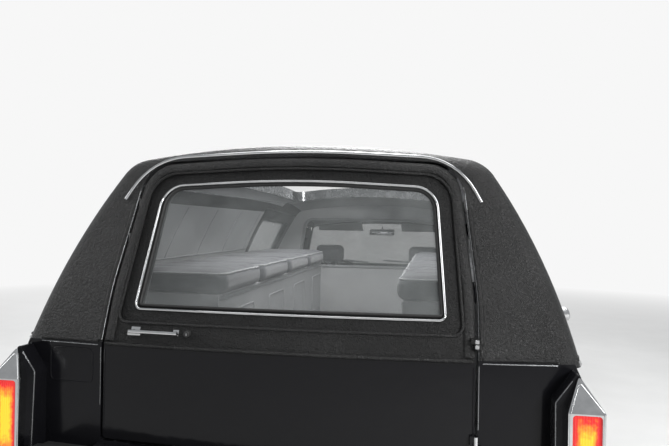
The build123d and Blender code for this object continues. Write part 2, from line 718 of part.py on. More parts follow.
def floor_pan():
    """Cab floor with its tunnel, firewall, riser and load floor."""
    under = [(-845, 303, 0), (-170, 303, 20), (-150, 510, 50), (150, 510, 50), (170, 303, 20), (845, 303, 0)]
    over = [(845, 323, 0), (186, 323, 20), (166, 530, 60), (-166, 530, 60), (-186, 323, 20), (-845, 323, 0)]
    floor = prism_y(under + over, 80, 1240)
    firewall = block(-700, 700, 1240, 1262, 303, 938) + both(block(690, 835, 1240, 1262, 303, 938))
    firewall = firewall - prism_y([(-150, 290, 0), (-150, 510, 50), (150, 510, 50), (150, 290, 0)], 1200, 1300)
    riser = block(-845, 845, 72, 92, 303, LOAD_FLOOR_Z) - block(-150, 150, 50, 100, 300, 510)
    inner_front = block(-845, 845, -770, 92, LOAD_FLOOR_Z - FLOOR_THICK, LOAD_FLOOR_Z)
    region = block(-890, 890, -2990, -770, LOAD_FLOOR_Z - FLOOR_THICK, LOAD_FLOOR_Z)
    region = region - behind_lower_tail(DOOR_WALL + 8)
    wells = both(block(627, 950, REAR_AXLE - 272, REAR_AXLE + 272, 600, 800))
    deck = block(-DECK_HALF, DECK_HALF, -2880, 40, LOAD_FLOOR_Z, LOAD_FLOOR_Z + DECK_THICK)
    return floor + firewall + riser + inner_front + ((region & INTERIOR) - wells) + deck


def cab_partition():
    """The divider behind the front seat, with a wide window opening."""
    panel = INTERIOR & block(-900, 900, 76, 96, LOAD_FLOOR_Z, 1600)
    return panel - prism_y([(610, 1080, 40), (560, 1440, 60), (-560, 1440, 60), (-610, 1080, 40)], 50, 120)


def dashboard():
    """The instrument panel, with its hooded binnacle."""
    profile = [(1238, 560, 0), (1060, 585, 40), (985, 700, 30), (975, 860, 25), (1060, 925, 30), (1238, 936, 0)]
    binnacle = [(1150, 880, 0), (960, 850, 10), (950, 925, 20), (1010, 952, 20), (1150, 940, 0)]
    return prism_x(profile, -832, 832) + prism_x(binnacle, -620, -150) - steering_column()


WHEEL_CENTRE = Vector(-385, 820, 905)
COLUMN_AXIS = Vector(0, 0.86, -0.51)


def steering_column():
    """The column behind the steering wheel."""
    return rod_between(24, tuple(WHEEL_CENTRE), tuple(WHEEL_CENTRE + COLUMN_AXIS * 260))


def steering_wheel():
    """Steering wheel with an eight-sided rim section, three spokes, a hub and its column."""
    plane = Plane(origin=tuple(WHEEL_CENTRE), x_dir=(1, 0, 0), z_dir=tuple(COLUMN_AXIS))
    turns = [math.radians(22.5 + 45 * i) for i in range(8)]
    section = Wire.make_polygon([(188 + 12 * math.cos(t), 0, 12 * math.sin(t)) for t in turns])
    rim = revolve(Face(section), Axis.Z)
    hub = Cylinder(44, 30)
    spokes = Box(366, 26, 12) + Pos(0, 90, 0) * Box(24, 184, 12)
    return plane * (rim + hub + spokes) + steering_column()


def front_seat():
    """The full-width front seat: cushion, back and head restraints on a plinth."""
    cushion = fillet(block(-690, 690, 330, 850, 440, 590).edges().filter_by(Axis.X), 40)
    back = prism_x([(330, 470, 20), (470, 500, 40), (330, 1090, 45), (200, 1080, 45)], -690, 690)
    rests = both(fillet(block(270, 510, 205, 300, 1080, 1240).edges().filter_by(Axis.Y), 50))
    plinth = block(-660, 660, 370, 800, 323, 445) - block(-190, 190, 300, 900, 300, 535)
    return cushion + back + rests + plinth - block(-212, 212, 180, 900, 300, 540)


def bench_bases():
    """Raised boxes along both sides of the load space that carry the seat cushions."""
    base = block(BENCH_INNER, 868, BENCH_REAR_Y, BENCH_FRONT_Y, LOAD_FLOOR_Z, BENCH_TOP)
    well = block(600, 900, REAR_AXLE - 425, REAR_AXLE + 425, 650, 800)
    return both((base & BENCH_ROOM) - well)


def bench_cushions():
    """Seat cushions on the side benches."""
    pad = block(CUSHION_INNER, 872, BENCH_REAR_Y - 8, BENCH_FRONT_Y + 8, BENCH_TOP, BENCH_TOP + CUSHION_THICK)
    long_edges = [e for e in pad.edges() if abs(e.center().X - CUSHION_INNER) < 1 and e.length > 500]
    return both(fillet(long_edges, 30) & BENCH_ROOM)


def engine_and_gearbox():
    """Engine and gearbox as plain blocks in their real places."""
    engine = block(-235, 235, 1500, 2300, 404, 830)
    gearbox = block(-110, 110, 820, 1502, 300, 480)
    feet = both(block(200, 292, 2000, 2080, 404, 470))
    return engine + gearbox + feet


def control_arm(inner_x, inner_half, outer_half, low, high):
    """A right-hand control arm that narrows from the frame to its ball joint."""
    wide = [(inner_x, FRONT_AXLE + inner_half, 0), (KINGPIN_X + 5, FRONT_AXLE + outer_half, 20)]
    return prism_z(wide + [(x, 2 * FRONT_AXLE - y, r) for x, y, r in reversed(wide)], low, high)


def front_suspension():
    """Upper and lower control arms, both sides, from the frame rails to the steering pivots."""
    lower = control_arm(385, 190, 26, 196, 222)
    window = [(400, FRONT_AXLE + 120), (540, FRONT_AXLE + 34), (540, FRONT_AXLE - 34), (400, FRONT_AXLE - 120)]
    lower = lower - prism_z(with_radius(window, 10), 150, 250)
    upper = control_arm(385, 150, 24, 508, 528)
    tower = block(370, 404, FRONT_AXLE - 190, FRONT_AXLE + 190, 196, 528)
    spring = Pos(470, FRONT_AXLE, 365) * Cylinder(52, 290)
    ball_low = Pos(KINGPIN_X, FRONT_AXLE, 209) * Cylinder(26, 26)
    ball_high = Pos(KINGPIN_X, FRONT_AXLE, 518) * Cylinder(24, 20)
    bore = Pos(KINGPIN_X, FRONT_AXLE, 365) * Cylinder(PIVOT_RADIUS + 0.05, 400)
    return both(lower + upper + tower + spring + ball_low + ball_high - bore)


KINGPIN_X = 645
SPINDLE_RADIUS = 22
PIVOT_RADIUS = 12


def knuckle():
    """A right-hand steering knuckle: pivot post, spindle and brake backplate."""
    post = Pos(KINGPIN_X, FRONT_AXLE, 365) * (Cylinder(22, 276) + Cylinder(PIVOT_RADIUS, 330))
    hub_x = FRONT_TRACK / 2
    spindle = rod_x(SPINDLE_RADIUS, KINGPIN_X, hub_x + 20, FRONT_AXLE, TYRE_RADIUS)
    plate = rod_x(128, 672, 680, FRONT_AXLE, TYRE_RADIUS)
    return post + spindle + plate


def rear_axle():
    """Live rear axle with its differential, leaf springs and spring hangers."""
    tube = rod_x(42, -684, 684, REAR_AXLE, TYRE_RADIUS)
    stubs = rod_x(SPINDLE_RADIUS, -REAR_TRACK / 2 - 20, REAR_TRACK / 2 + 20, REAR_AXLE, TYRE_RADIUS)
    plates = both(rod_x(128, 664, 672, REAR_AXLE, TYRE_RADIUS))
    pumpkin = Pos(0, REAR_AXLE, TYRE_RADIUS) * Sphere(135)
    pumpkin = pumpkin & block(-140, 140, REAR_AXLE - 120, REAR_AXLE + 120, 240, 494)
    # Bow of the leaf pack: height at the eyes, height at the middle, radius of the bow
    under, over = (440, 290, 1800), (462, 318, 1800)
    leaf = [(REAR_AXLE + 690, under[0], 10), (REAR_AXLE, under[1], under[2]), (REAR_AXLE - 690, under[0], 10)]
    leaf += [(REAR_AXLE - 690, over[0], 10), (REAR_AXLE, over[1], over[2]), (REAR_AXLE + 690, over[0], 10)]
    spring = prism_x(leaf, 425, 490)
    saddle = block(425, 490, REAR_AXLE - 60, REAR_AXLE + 60, 308, 380)
    hangers = block(370, 490, REAR_AXLE + 640, REAR_AXLE + 715, 430, 480)
    hangers += block(370, 490, REAR_AXLE - 715, REAR_AXLE - 640, 430, 520)
    return tube + stubs + plates + pumpkin + both(spring + saddle + hangers)


def exhaust_system():
    """Exhaust pipe, silencer and tailpipe along the right side of the frame."""
    x = 460
    # The pipe's course: x, y, z of each bend, with a collar over it
    course = [(x, 1300, 260), (x, -900, 260), (x + 96, -1160, 478), (x + 96, -1960, 478), (x + 96, -2240, 380)]
    course.append((x + 96, -3030, 380))
    pipe = rod_between(26, course[0], course[1])
    for start, end in zip(course[1:], course[2:]):
        pipe += rod_between(26, start, end) + Pos(*start) * Sphere(29)
    silencer = rod_y(60, -100, 560, x, 238)
    straps = block(x - 90, x + 4, 880, 900, 250, 290) + block(x - 90, x + 4, -640, -620, 250, 290)
    hook = block(370, x + 84, -2740, -2700, 384, 480)
    bored = rod_y(22, -3050, -2900, x + 96, 380)
    return pipe + silencer + straps + hook - bored


def fuel_tank():
    """Fuel tank slung between the rails behind the rear axle."""
    return fillet(block(-290, 290, -2840, -2190, 330, 452).edges().filter_by(Axis.X), 40)


def propeller_shaft():
    """Propeller shaft from the gearbox to the differential."""
    return rod_between(36, (0, 819, 360), (0, REAR_AXLE + 121, TYRE_RADIUS))


def tyre():
    """A road tyre centred on the origin: tread, shoulders, sidewalls and beads as plain bands."""
    w, r, b = TYRE_WIDTH / 2, TYRE_RADIUS, RIM_RADIUS
    right = [(w - 30, r), (w - 9, r - 16), (w, r - 54), (w - 3, b + 46), (w - 14, b)]
    profile = [(-u, v) for u, v in reversed(right)] + right
    return revolve(rounded_face(with_radius(profile, 0), lambda u, v: (u, 0, v)), Axis.X)


def road_wheel():
    """A right-hand steel rim with its dished cover, centred on the origin. The bore runs on the spindle."""
    w, b, bore = TYRE_WIDTH / 2, RIM_RADIUS, SPINDLE_RADIUS + 0.05
    flange, well = b + 7, b - 14
    barrel = [(-w + 12, b), (-w + 12, flange), (-w + 4, flange), (-w + 4, well), (w - 40, b - 34), (w - 30, b - 20)]
    barrel += [(w - 4, b - 8), (w - 4, flange), (w - 12, flange), (w - 12, b)]
    cover = [(w - 44, bore), (w - 44, b - 30), (w - 16, b - 5), (w - 2, b - 3), (w - 26, b - 46), (w - 20, 92)]
    cover += [(w + 2, 74), (w + 12, 40), (w + 12, 12), (w - 18, 12), (w - 18, bore)]
    hub = [(-20, bore), (-20, 62), (w - 40, 62), (w - 40, bore)]
    solid = rod_x(14, w - 17, w + 11, 0, 0)
    for outline in (barrel, cover, hub):
        solid = solid + revolve(rounded_face(with_radius(outline, 0), lambda u, v: (u, 0, v)), Axis.X)
    fins = 20
    for i in range(fins):
        fin = block(w - 28, w - 8, -5, 5, 97, b - 30)
        solid += fin.rotate(Axis.X, i * 360 / fins)
    return solid


LOWER_OUTER = lower_body()
UPPER_OUTER = upper_outer()
UPPER_SHELL = upper_shell()
LOWER_SHELL = lower_shell()
UPPER_PANE_OUTER = upper_body(16)
UPPER_PANE_INNER = upper_body(22)
FIN_RIGHT = tail_fin()
INTERIOR = interior()
BENCH_ROOM = interior(7)


def write_parts():
    """Build and write every node."""
    low_hinge, high_hinge = (fixed_hinge_leaf(*hinge) for hinge in HINGES)
    save("lower_quarters", lower_quarters() + low_hinge)
    save("upper_quarters", upper_quarters() + high_hinge)
    fixed = {
        "chassis_frame": chassis_frame,
        "floor_pan": floor_pan,
        "screen_surround": screen_surround,
        "screen_glass": screen_glass,
        "roof_panel": roof_panel,
        "roof_opening_rim": roof_opening_rim,
        "sills_and_pillars": sills_and_pillars,
        "fenders": fenders,
        "hood": hood,
        "nose_panel": nose_panel,
        "headlamps": headlamps,
        "grille": grille,
        "front_bumper": front_bumper,
        "rear_bumper": rear_bumper,
        "tail_lamps": tail_lamps,
        "lamp_bezels": lamp_bezels,
        "landau_bars": landau_bars,
        "dashboard": dashboard,
        "steering_wheel": steering_wheel,
        "front_seat": front_seat,
        "cab_partition": cab_partition,
        "bench_bases": bench_bases,
        "bench_cushions": bench_cushions,
        "engine_and_gearbox": engine_and_gearbox,
        "front_suspension": front_suspension,
        "rear_axle": rear_axle,
        "exhaust_system": exhaust_system,
        "fuel_tank": fuel_tank,
        "propeller_shaft": propeller_shaft,
        "tailgate": tailgate,
        "tailgate_glass": tailgate_glass,
        "tailgate_handle": tailgate_handle,
    }
    for name, make in fixed.items():
        save(name, make())
    sided = {
        "front_door": front_door(),
        "rear_door": rear_door(),
        "front_door_glass": side_glass(FRONT_DOOR_WINDOW),
        "rear_door_glass": side_glass(REAR_DOOR_WINDOW),
        "knuckle": knuckle(),
    }
    for name, shape in sided.items():
        save(f"{name}_right", shape)
        save(f"{name}_left", other_side(shape))
    rubber, rim = tyre(), road_wheel()
    for end, x, y in (("front", FRONT_TRACK / 2, FRONT_AXLE), ("rear", REAR_TRACK / 2, REAR_AXLE)):
        for name, shape in (("tyre", rubber), ("wheel", rim)):
            placed = Pos(x, y, TYRE_RADIUS) * shape
            save(f"{name}_{end}_right", placed)
            save(f"{name}_{end}_left", other_side(placed))


write_parts()
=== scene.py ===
import json
import math

import bmesh
import bpy
from mathutils import Matrix, Vector
from mathutils.bvhtree import BVHTree


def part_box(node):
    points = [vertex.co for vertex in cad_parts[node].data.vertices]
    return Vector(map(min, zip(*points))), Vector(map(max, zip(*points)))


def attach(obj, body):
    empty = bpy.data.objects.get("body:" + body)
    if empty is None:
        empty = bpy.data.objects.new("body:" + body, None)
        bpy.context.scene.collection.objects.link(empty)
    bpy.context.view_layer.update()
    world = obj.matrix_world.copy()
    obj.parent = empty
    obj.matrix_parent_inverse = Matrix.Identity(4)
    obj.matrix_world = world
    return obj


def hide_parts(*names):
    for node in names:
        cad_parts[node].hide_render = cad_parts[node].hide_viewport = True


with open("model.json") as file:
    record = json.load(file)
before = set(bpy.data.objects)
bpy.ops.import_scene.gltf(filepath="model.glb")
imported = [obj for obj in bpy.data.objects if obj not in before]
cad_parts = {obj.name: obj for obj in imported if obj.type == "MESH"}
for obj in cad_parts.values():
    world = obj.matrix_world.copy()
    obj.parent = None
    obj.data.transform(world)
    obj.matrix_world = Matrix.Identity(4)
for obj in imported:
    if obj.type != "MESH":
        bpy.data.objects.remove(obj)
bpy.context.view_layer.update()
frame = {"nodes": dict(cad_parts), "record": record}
nodes = frame["nodes"]

# Sizes in metres. Outlines are (across or along, height, corner radius); those with a crown are a right half
BELT_Z = 1.0
TAILGATE = [(0.600, 0.692, 0.012), (0.600, 1.180, 0.9), (0.548, 1.612, 0.115)]
TAILGATE_WINDOW = [(0.507, 1.121, 0.014), (0.474, 1.530, 0.076)]
TAILGATE_RECESS = [(0.566, 1.076, 0.03), (0.524, 1.576, 0.1)]
TAILGATE_CROWN, WINDOW_CROWN, RECESS_CROWN = 1.646, 1.555, 1.604
SCREEN, SCREEN_CROWN = [(0.812, 1.012, 0.04), (0.650, 1.408, 0.06)], 1.442
FRONT_WINDOW = [(1.100, 1.022, 0.025), (0.735, 1.290, 0.045), (0.192, 1.402, 0.03), (0.192, 1.022, 0.025)]
REAR_WINDOW = [(0.008, 1.022, 0.025), (0.008, 1.412, 0.03), (-0.700, 1.446, 0.06), (-0.700, 1.022, 0.035)]
PARTITION_WINDOW = [(0.61, 1.08, 0.04), (0.56, 1.44, 0.06), (-0.56, 1.44, 0.06), (-0.61, 1.08, 0.04)]
ROOF_STRIP, ROOF_STRIP_CROWN = [(0.625, 1.487, 0), (0.545, 1.637, 0.22)], 1.664
FRONT_AXLE, REAR_AXLE = 2.105, -1.575
TYRE_R = 0.367
FRONT_HUB, REAR_HUB = 0.783, 0.771
DOOR_REAR = -0.760
BENCH_TOP, CUSHION = 1.124, 0.096
SIDES = (("right", 1), ("left", -1))

# Materials

MATERIALS = {}
PALE = (0.93, 0.93, 0.93)


def grey(value):
    """A neutral colour."""
    return (value, value, value)


def tinted(colour, factor):
    """A colour made darker or lighter."""
    return tuple(c * factor for c in colour)


class Tree:
    """A node tree, where an input takes a value or another node's output."""

    def __init__(self, tree):
        self.tree = tree

    def feed(self, socket, value):
        """Give an input an output or a value."""
        if isinstance(value, bpy.types.NodeSocket):
            self.tree.links.new(value, socket)
        else:
            socket.default_value = (*value, 1) if socket.type == "RGBA" else value

    def node(self, kind, inputs, output=0, **settings):
        """Add a node with its properties and inputs, and give one of its outputs."""
        made = self.tree.nodes.new(kind)
        for key, value in settings.items():
            setattr(made, key, value)
        for key, value in inputs.items():
            self.feed(made.inputs[key], value)
        return made.outputs[output]

    def maths(self, operation, first, second=0.0):
        """An operation on one or two values."""
        return self.node("ShaderNodeMath", {0: first, 1: second}, operation=operation)

    def seen(self, *rays):
        """Whether a ray is of one of the given kinds."""
        found = [self.node("ShaderNodeLightPath", {}, f"Is {ray} Ray") for ray in rays]
        total = found[0]
        for ray in found[1:]:
            total = self.maths("MAXIMUM", total, ray)
        return total


class Finish(Tree):
    """A node material with its main shader, and coordinates in metres that stay with the piece."""

    def __init__(self, name):
        made = bpy.data.materials.new(name)
        made.use_nodes = True
        MATERIALS[name] = made
        super().__init__(made.node_tree)
        self.shader = self.tree.nodes["Principled BSDF"]
        self.space = self.coordinates()

    def coordinates(self, scale=(1, 1, 1)):
        """Object coordinates, scaled."""
        place = self.node("ShaderNodeTexCoord", {}, "Object")
        return self.node("ShaderNodeMapping", {"Vector": place, "Scale": scale})

    def axis(self, name):
        """One coordinate."""
        return self.node("ShaderNodeSeparateXYZ", {"Vector": self.space}, name)

    def noise(self, scale, detail=3.0, rough=0.5, space=None, output="Fac"):
        """A noise texture."""
        inputs = {"Vector": space or self.space, "Scale": scale, "Detail": detail, "Roughness": rough}
        return self.node("ShaderNodeTexNoise", inputs, output)

    def wave(self, scale, along="X", bend=0.0, detail=2.0):
        """A texture of bands across one axis."""
        inputs = {"Vector": self.space, "Scale": scale, "Distortion": bend, "Detail": detail}
        return self.node("ShaderNodeTexWave", inputs, "Fac", bands_direction=along)

    def ramp(self, source, *stops):
        """Map a grey value through colour stops of (position, colour)."""
        colour = self.node("ShaderNodeValToRGB", {"Fac": source}, "Color")
        band = colour.node.color_ramp
        while len(band.elements) < len(stops):
            band.elements.new(0.5)
        for element, (position, shade) in zip(band.elements, stops):
            element.position = position
            element.color = (*shade, 1)
        return colour

    def spread(self, source, low, high, start=0.3, end=0.7):
        """Map a value between two limits."""
        inputs = {"Value": source, "From Min": start, "From Max": end, "To Min": low, "To Max": high}
        return self.node("ShaderNodeMapRange", inputs)

    def mixed(self, share, first, second):
        """Mix two colours."""
        return self.node("ShaderNodeMix", {"Factor": share, 6: first, 7: second}, 2, data_type="RGBA")

    def shade(self, inputs):
        """Feed the main shader."""
        for key, value in inputs.items():
            self.feed(self.shader.inputs[key], value)

    def bump(self, *layers):
        """Stack bump layers of (height, strength, distance) and join them to the shader."""
        inputs = {}
        for source, strength, distance in layers:
            inputs.update({"Height": source, "Strength": strength, "Distance": distance})
            inputs["Normal"] = self.node("ShaderNodeBump", inputs)
        self.shade({"Normal": inputs["Normal"]})


def paint(name, colour, dust):
    """Gloss black coachwork: deep coat, faint orange peel, dust low down."""
    look = Finish(name)
    blotch = look.noise(1.7, 5, 0.6)
    low = look.spread(look.axis("Z"), 0.28, 0.0, 0.22, 0.55)
    grime = look.maths("MULTIPLY", low, look.noise(46, 4, 0.7))
    tint = look.ramp(blotch, (0.35, colour), (0.8, tuple(c * 1.5 + 0.002 for c in colour)))
    look.shade({
        "Base Color": look.mixed(grime, tint, dust),
        "Roughness": look.maths("ADD", look.spread(blotch, 0.10, 0.22), grime),
        "Specular IOR Level": 0.12,
        "Coat Weight": 0.08,
        "Coat Roughness": 0.04,
    })
    look.bump((look.noise(260, 2), 0.04, 0.002))


def vinyl(name, edge=None):
    """Grained black roof covering; below a height given as edge it gives way to gloss paint."""
    look = Finish(name)
    warp = look.noise(90, 3, 0.6, output="Color")
    bent = look.node("ShaderNodeVectorMath", {0: warp, 1: grey(0.006), 2: look.space}, operation="MULTIPLY_ADD")
    cells = {"Vector": bent, "Scale": 190.0, "Randomness": 1.0}
    grain = look.node("ShaderNodeTexVoronoi", cells, "Distance", feature="DISTANCE_TO_EDGE")
    weave = look.noise(1.0, 4, 0.7, look.coordinates((60, 60, 150)))
    broad = look.noise(3.2, 4, 0.6)
    fold = look.noise(100, 3, 0.6)
    tint = look.ramp(broad, (0.3, grey(0.005)), (0.55, grey(0.009)), (0.8, grey(0.015)))
    rough = look.spread(weave, 0.24, 0.46)
    if edge:
        above = look.maths("GREATER_THAN", look.axis("Z"), edge)
        tint = look.mixed(above, (0.006, 0.006, 0.007), tint)
        rough = look.spread(above, 0.12, 0.42, 0.0, 1.0)
        look.shade({"Coat Weight": look.spread(above, 0.04, 0.0, 0.0, 1.0)})
        grain, weave, fold = [look.maths("MULTIPLY", part, above) for part in (grain, weave, fold)]
    look.shade({"Base Color": tint, "Roughness": rough, "Specular IOR Level": 0.17 if edge else 0.26})
    look.bump((broad, 0.35, 0.012), (fold, 1.0, 0.005), (weave, 0.8, 0.0028), (grain, 1.0, 0.0026))


def chrome(name, colour=(0.58, 0.585, 0.59), low=0.05, high=0.16, dark=None):
    """Bright plating with faint haze; dark, as (axis, test, limit), says where it gives way to black."""
    look = Finish(name)
    haze = look.noise(24, 5, 0.6)
    tint = look.ramp(haze, (0.3, tinted(colour, 0.86)), (0.7, colour))
    rough = look.spread(haze, low, high)
    metal = 1.0
    if dark:
        axis, test, limit = dark
        black = look.maths(test, look.axis(axis), limit)
        tint = look.mixed(black, tint, grey(0.014))
        rough = look.maths("ADD", rough, look.maths("MULTIPLY", black, 0.45))
        metal = look.spread(black, 1.0, 0.0, 0.0, 1.0)
    look.shade({"Base Color": tint, "Roughness": rough, "Metallic": metal})
    look.bump((haze, 0.03, 0.002), (look.noise(380, 2), 0.02, 0.0004))


def glass(name, tint):
    """Thin window glass: see-through head on, more mirror-like at a slant, with a hazy film."""
    look = Finish(name)
    haze = look.noise(5, 6, 0.65)
    slant = look.node("ShaderNodeLayerWeight", {"Blend": 0.35}, "Fresnel")
    solid = look.spread(slant, 0.10, 0.75, 0.0, 0.9)
    look.shade({
        "Base Color": look.ramp(haze, (0.35, tinted(tint, 0.8)), (0.75, tinted(tint, 1.25))),
        "Alpha": look.maths("ADD", solid, look.spread(haze, -0.03, 0.05)),
        "Roughness": look.spread(haze, 0.03, 0.10),
        "Specular IOR Level": 0.8,
    })


def lit_lens(name, centre, reach, stops):
    """A ribbed lamp lens whose glow falls off from the bulb at centre (x, z), the same on both sides."""
    look = Finish(name)
    away = []
    for place, middle, half in zip((look.maths("ABSOLUTE", look.axis("X")), look.axis("Z")), centre, reach):
        share = look.maths("DIVIDE", look.maths("SUBTRACT", place, middle), half)
        away.append(look.maths("ABSOLUTE", share))
    grain = look.noise(60, 3, 0.6)
    far = look.maths("ADD", look.maths("MAXIMUM", *away), look.spread(grain, -0.07, 0.07))
    look.shade({
        "Base Color": look.ramp(grain, (0.3, (0.16, 0.003, 0.002)), (0.7, (0.26, 0.005, 0.004))),
        "Emission Color": look.ramp(far, *stops),
        "Emission Strength": 1.05,
        "Roughness": 0.12,
        "Coat Weight": 0.2,
    })
    look.bump((look.wave(42.0), 0.4, 0.003))


def lens(name, colour, scale=50.0, metallic=0.0, rough=0.1):
    """An unlit moulded lens with fine ribs."""
    look = Finish(name)
    patch = look.noise(14, 3)
    look.shade({
        "Base Color": look.ramp(patch, (0.3, tinted(colour, 0.75)), (0.75, colour)),
        "Metallic": metallic,
        "Roughness": look.spread(patch, rough, rough + 0.1),
        "Coat Weight": 0.8,
    })
    look.bump((look.wave(scale), 0.5, 0.003), (look.wave(scale * 0.45, "Z"), 0.3, 0.003))


def plain(name, colour, rough=(0.5, 0.75), metallic=0.0, grain=120, depth=0.12, vary=0.75, broad=4.0):
    """A general solid finish: colour that drifts, a grain and a roughness that vary."""
    look = Finish(name)
    fine = look.noise(grain, 4, 0.6)
    look.shade({
        "Base Color": look.ramp(look.noise(broad, 5, 0.6), (0.32, tinted(colour, vary)), (0.7, colour)),
        "Metallic": metallic,
        "Roughness": look.spread(fine, *rough),
    })
    look.bump((fine, depth, 0.0015))


def cloth(name, colour):
    """Woven cloth: two crossed wave bands with slub and a soft sheen."""
    look = Finish(name)
    slub = look.noise(60, 4, 0.7)
    weave = look.maths("MULTIPLY", *[look.wave(420.0, along, 1.2, 1.0) for along in "XY"])
    tint = look.ramp(slub, (0.25, tinted(colour, 0.7)), (0.75, tinted(colour, 1.25)))
    look.shade({"Base Color": tint, "Roughness": 0.9, "Sheen Weight": 0.25})
    look.bump((slub, 0.25, 0.003), (weave, 0.5, 0.0008))


def carpet(name, colour):
    """Short looped pile."""
    look = Finish(name)
    worn = look.noise(5, 5, 0.6)
    tint = look.ramp(worn, (0.3, tinted(colour, 0.65)), (0.75, tinted(colour, 1.3)))
    look.shade({"Base Color": tint, "Roughness": 0.95, "Sheen Weight": 0.3})
    look.bump((look.noise(420, 3, 0.8), 0.9, 0.003))


# Colours of a lit tail lamp, from its bulb outwards
LAMP_GLOW = [
    (0.30, (1.0, 0.70, 0.010)),
    (0.46, (1.0, 0.28, 0.006)),
    (0.58, (0.70, 0.010, 0.006)),
    (0.90, (0.30, 0.0, 0.006)),
]
LAMP_BULB, LAMP_REACH = (0.904, 0.758), (0.048, 0.19)

paint("paint", (0.004, 0.004, 0.005), dust=(0.075, 0.07, 0.065))
vinyl("vinyl")
vinyl("tailgate_skin", BELT_Z)
chrome("chrome")
chrome("dull_trim", (0.26, 0.265, 0.27), 0.18, 0.34)
chrome("bumper", dark=("Z", "GREATER_THAN", 0.613))
chrome("grille", dark=("Y", "LESS_THAN", 3.038))
chrome("wheel_cover", (0.54, 0.545, 0.55), 0.08, 0.20)
glass("window", (0.34, 0.36, 0.36))
lit_lens("lamp_red", LAMP_BULB, LAMP_REACH, LAMP_GLOW)
lens("lamp_amber", (0.75, 0.26, 0.015))
lens("lamp_side_red", (0.45, 0.012, 0.008))
lens("lamp_clear", (0.72, 0.74, 0.75), scale=70.0, metallic=0.35, rough=0.06)
plain("tyre", grey(0.018), (0.7, 0.9), grain=80, depth=0.2)
plain("whitewall", (0.62, 0.61, 0.58), (0.5, 0.7), grain=60, depth=0.1, vary=0.85)
plain("seal", grey(0.012), (0.6, 0.8))
plain("steel_black", grey(0.022), vary=0.5)
plain("steel_bare", (0.24, 0.2, 0.17), (0.45, 0.8), metallic=0.6, vary=0.45, broad=9)
plain("iron", (0.07, 0.065, 0.06), (0.55, 0.85), metallic=0.3, vary=0.5, grain=50)
plain("grey_trim", (0.46, 0.465, 0.47), (0.45, 0.65), grain=220, vary=0.88)
plain("bench_trim", (0.30, 0.305, 0.31), (0.5, 0.7), grain=160, vary=0.85)
plain("dash", (0.03, 0.03, 0.033), grain=260, depth=0.25)
plain("mirror", (0.8, 0.81, 0.82), (0.02, 0.04), metallic=1.0, grain=6, depth=0.01, vary=0.95)
carpet("carpet", (0.06, 0.06, 0.065))
cloth("cushion", (0.055, 0.057, 0.064))
cloth("seat_cloth", (0.12, 0.12, 0.13))

# Finish of the slots and nodes that don't take their slot's own name
SLOT_FINISH = {"glass": "window", "wheel": "wheel_cover", "seat": "seat_cloth"}
NODE_FINISH = {
    "tailgate": "tailgate_skin",
    "rear_bumper": "bumper",
    "bench_bases": "bench_trim",
    "grille": "grille",
    "roof_opening_rim": "dull_trim",
}
# Slot of the finishes that aren't named after theirs
FINISH_SLOT = {finish: slot for slot, finish in SLOT_FINISH.items()}
FINISH_SLOT.update(seal="tyre", whitewall="tyre", lamp_amber="lamp_red", lamp_side_red="lamp_red")
FINISH_SLOT.update(mirror="chrome", dull_trim="chrome", bench_trim="grey_trim")

for part in frame["record"]["subparts"]:
    name, slot = part["node"], part["material_slot"]
    nodes[name].data.materials.clear()
    nodes[name].data.materials.append(MATERIALS[NODE_FINISH.get(name, SLOT_FINISH.get(slot, slot))])


# Shapes

# Views: the axis each looks along (0 across, 1 along, 2 up), where on it the look starts, and which way.
# A place (u, v) in a view gives the other two coordinates in their order
VIEWS = {
    "rear": (1, -3.6, 1),
    "front": (1, 3.8, -1),
    "right": (0, 1.6, -1),
    "above": (2, 2.4, -1),
    "inside_right": (0, 0.2, 1),
    "inside_rear": (1, -2.5, -1),
    "inside_up": (2, 1.3, 1),
    "load_front": (1, -0.25, 1),
    "cab_rear": (1, 0.50, -1),
    "cab_front": (1, 0.60, 1),
    "deck": (2, 1.0, -1),
    "bonnet_inside": (2, 0.5, 1),
}
# How far the foot of a laid section reaches into its surface, and how far a sheet stays off it
SUNK, SHEET_GAP = 0.0015, 0.0004
# Radius of the arc through an outline's crown, and the widest turn between two points of a rounded corner
CROWN_R, ARC_TURN = 4.0, 0.16


def surface(*names):
    """A search tree over the faces of CAD nodes."""
    verts, faces = [], []
    for name in names:
        mesh, base = nodes[name].data, len(verts)
        verts += [v.co.copy() for v in mesh.vertices]
        faces += [[base + i for i in face.vertices] for face in mesh.polygons]
    return BVHTree.FromPolygons(verts, faces)


def mirrored(right, crown):
    """A whole outline from its right half, with a wide arc through the crown on the middle line."""
    return right + [(0, crown, CROWN_R)] + [(-u, v, r) for u, v, r in reversed(right)]


def rectangle(left, right, low, high, radius):
    """An outline's four corners."""
    return [(right, low, radius), (right, high, radius), (left, high, radius), (left, low, radius)]


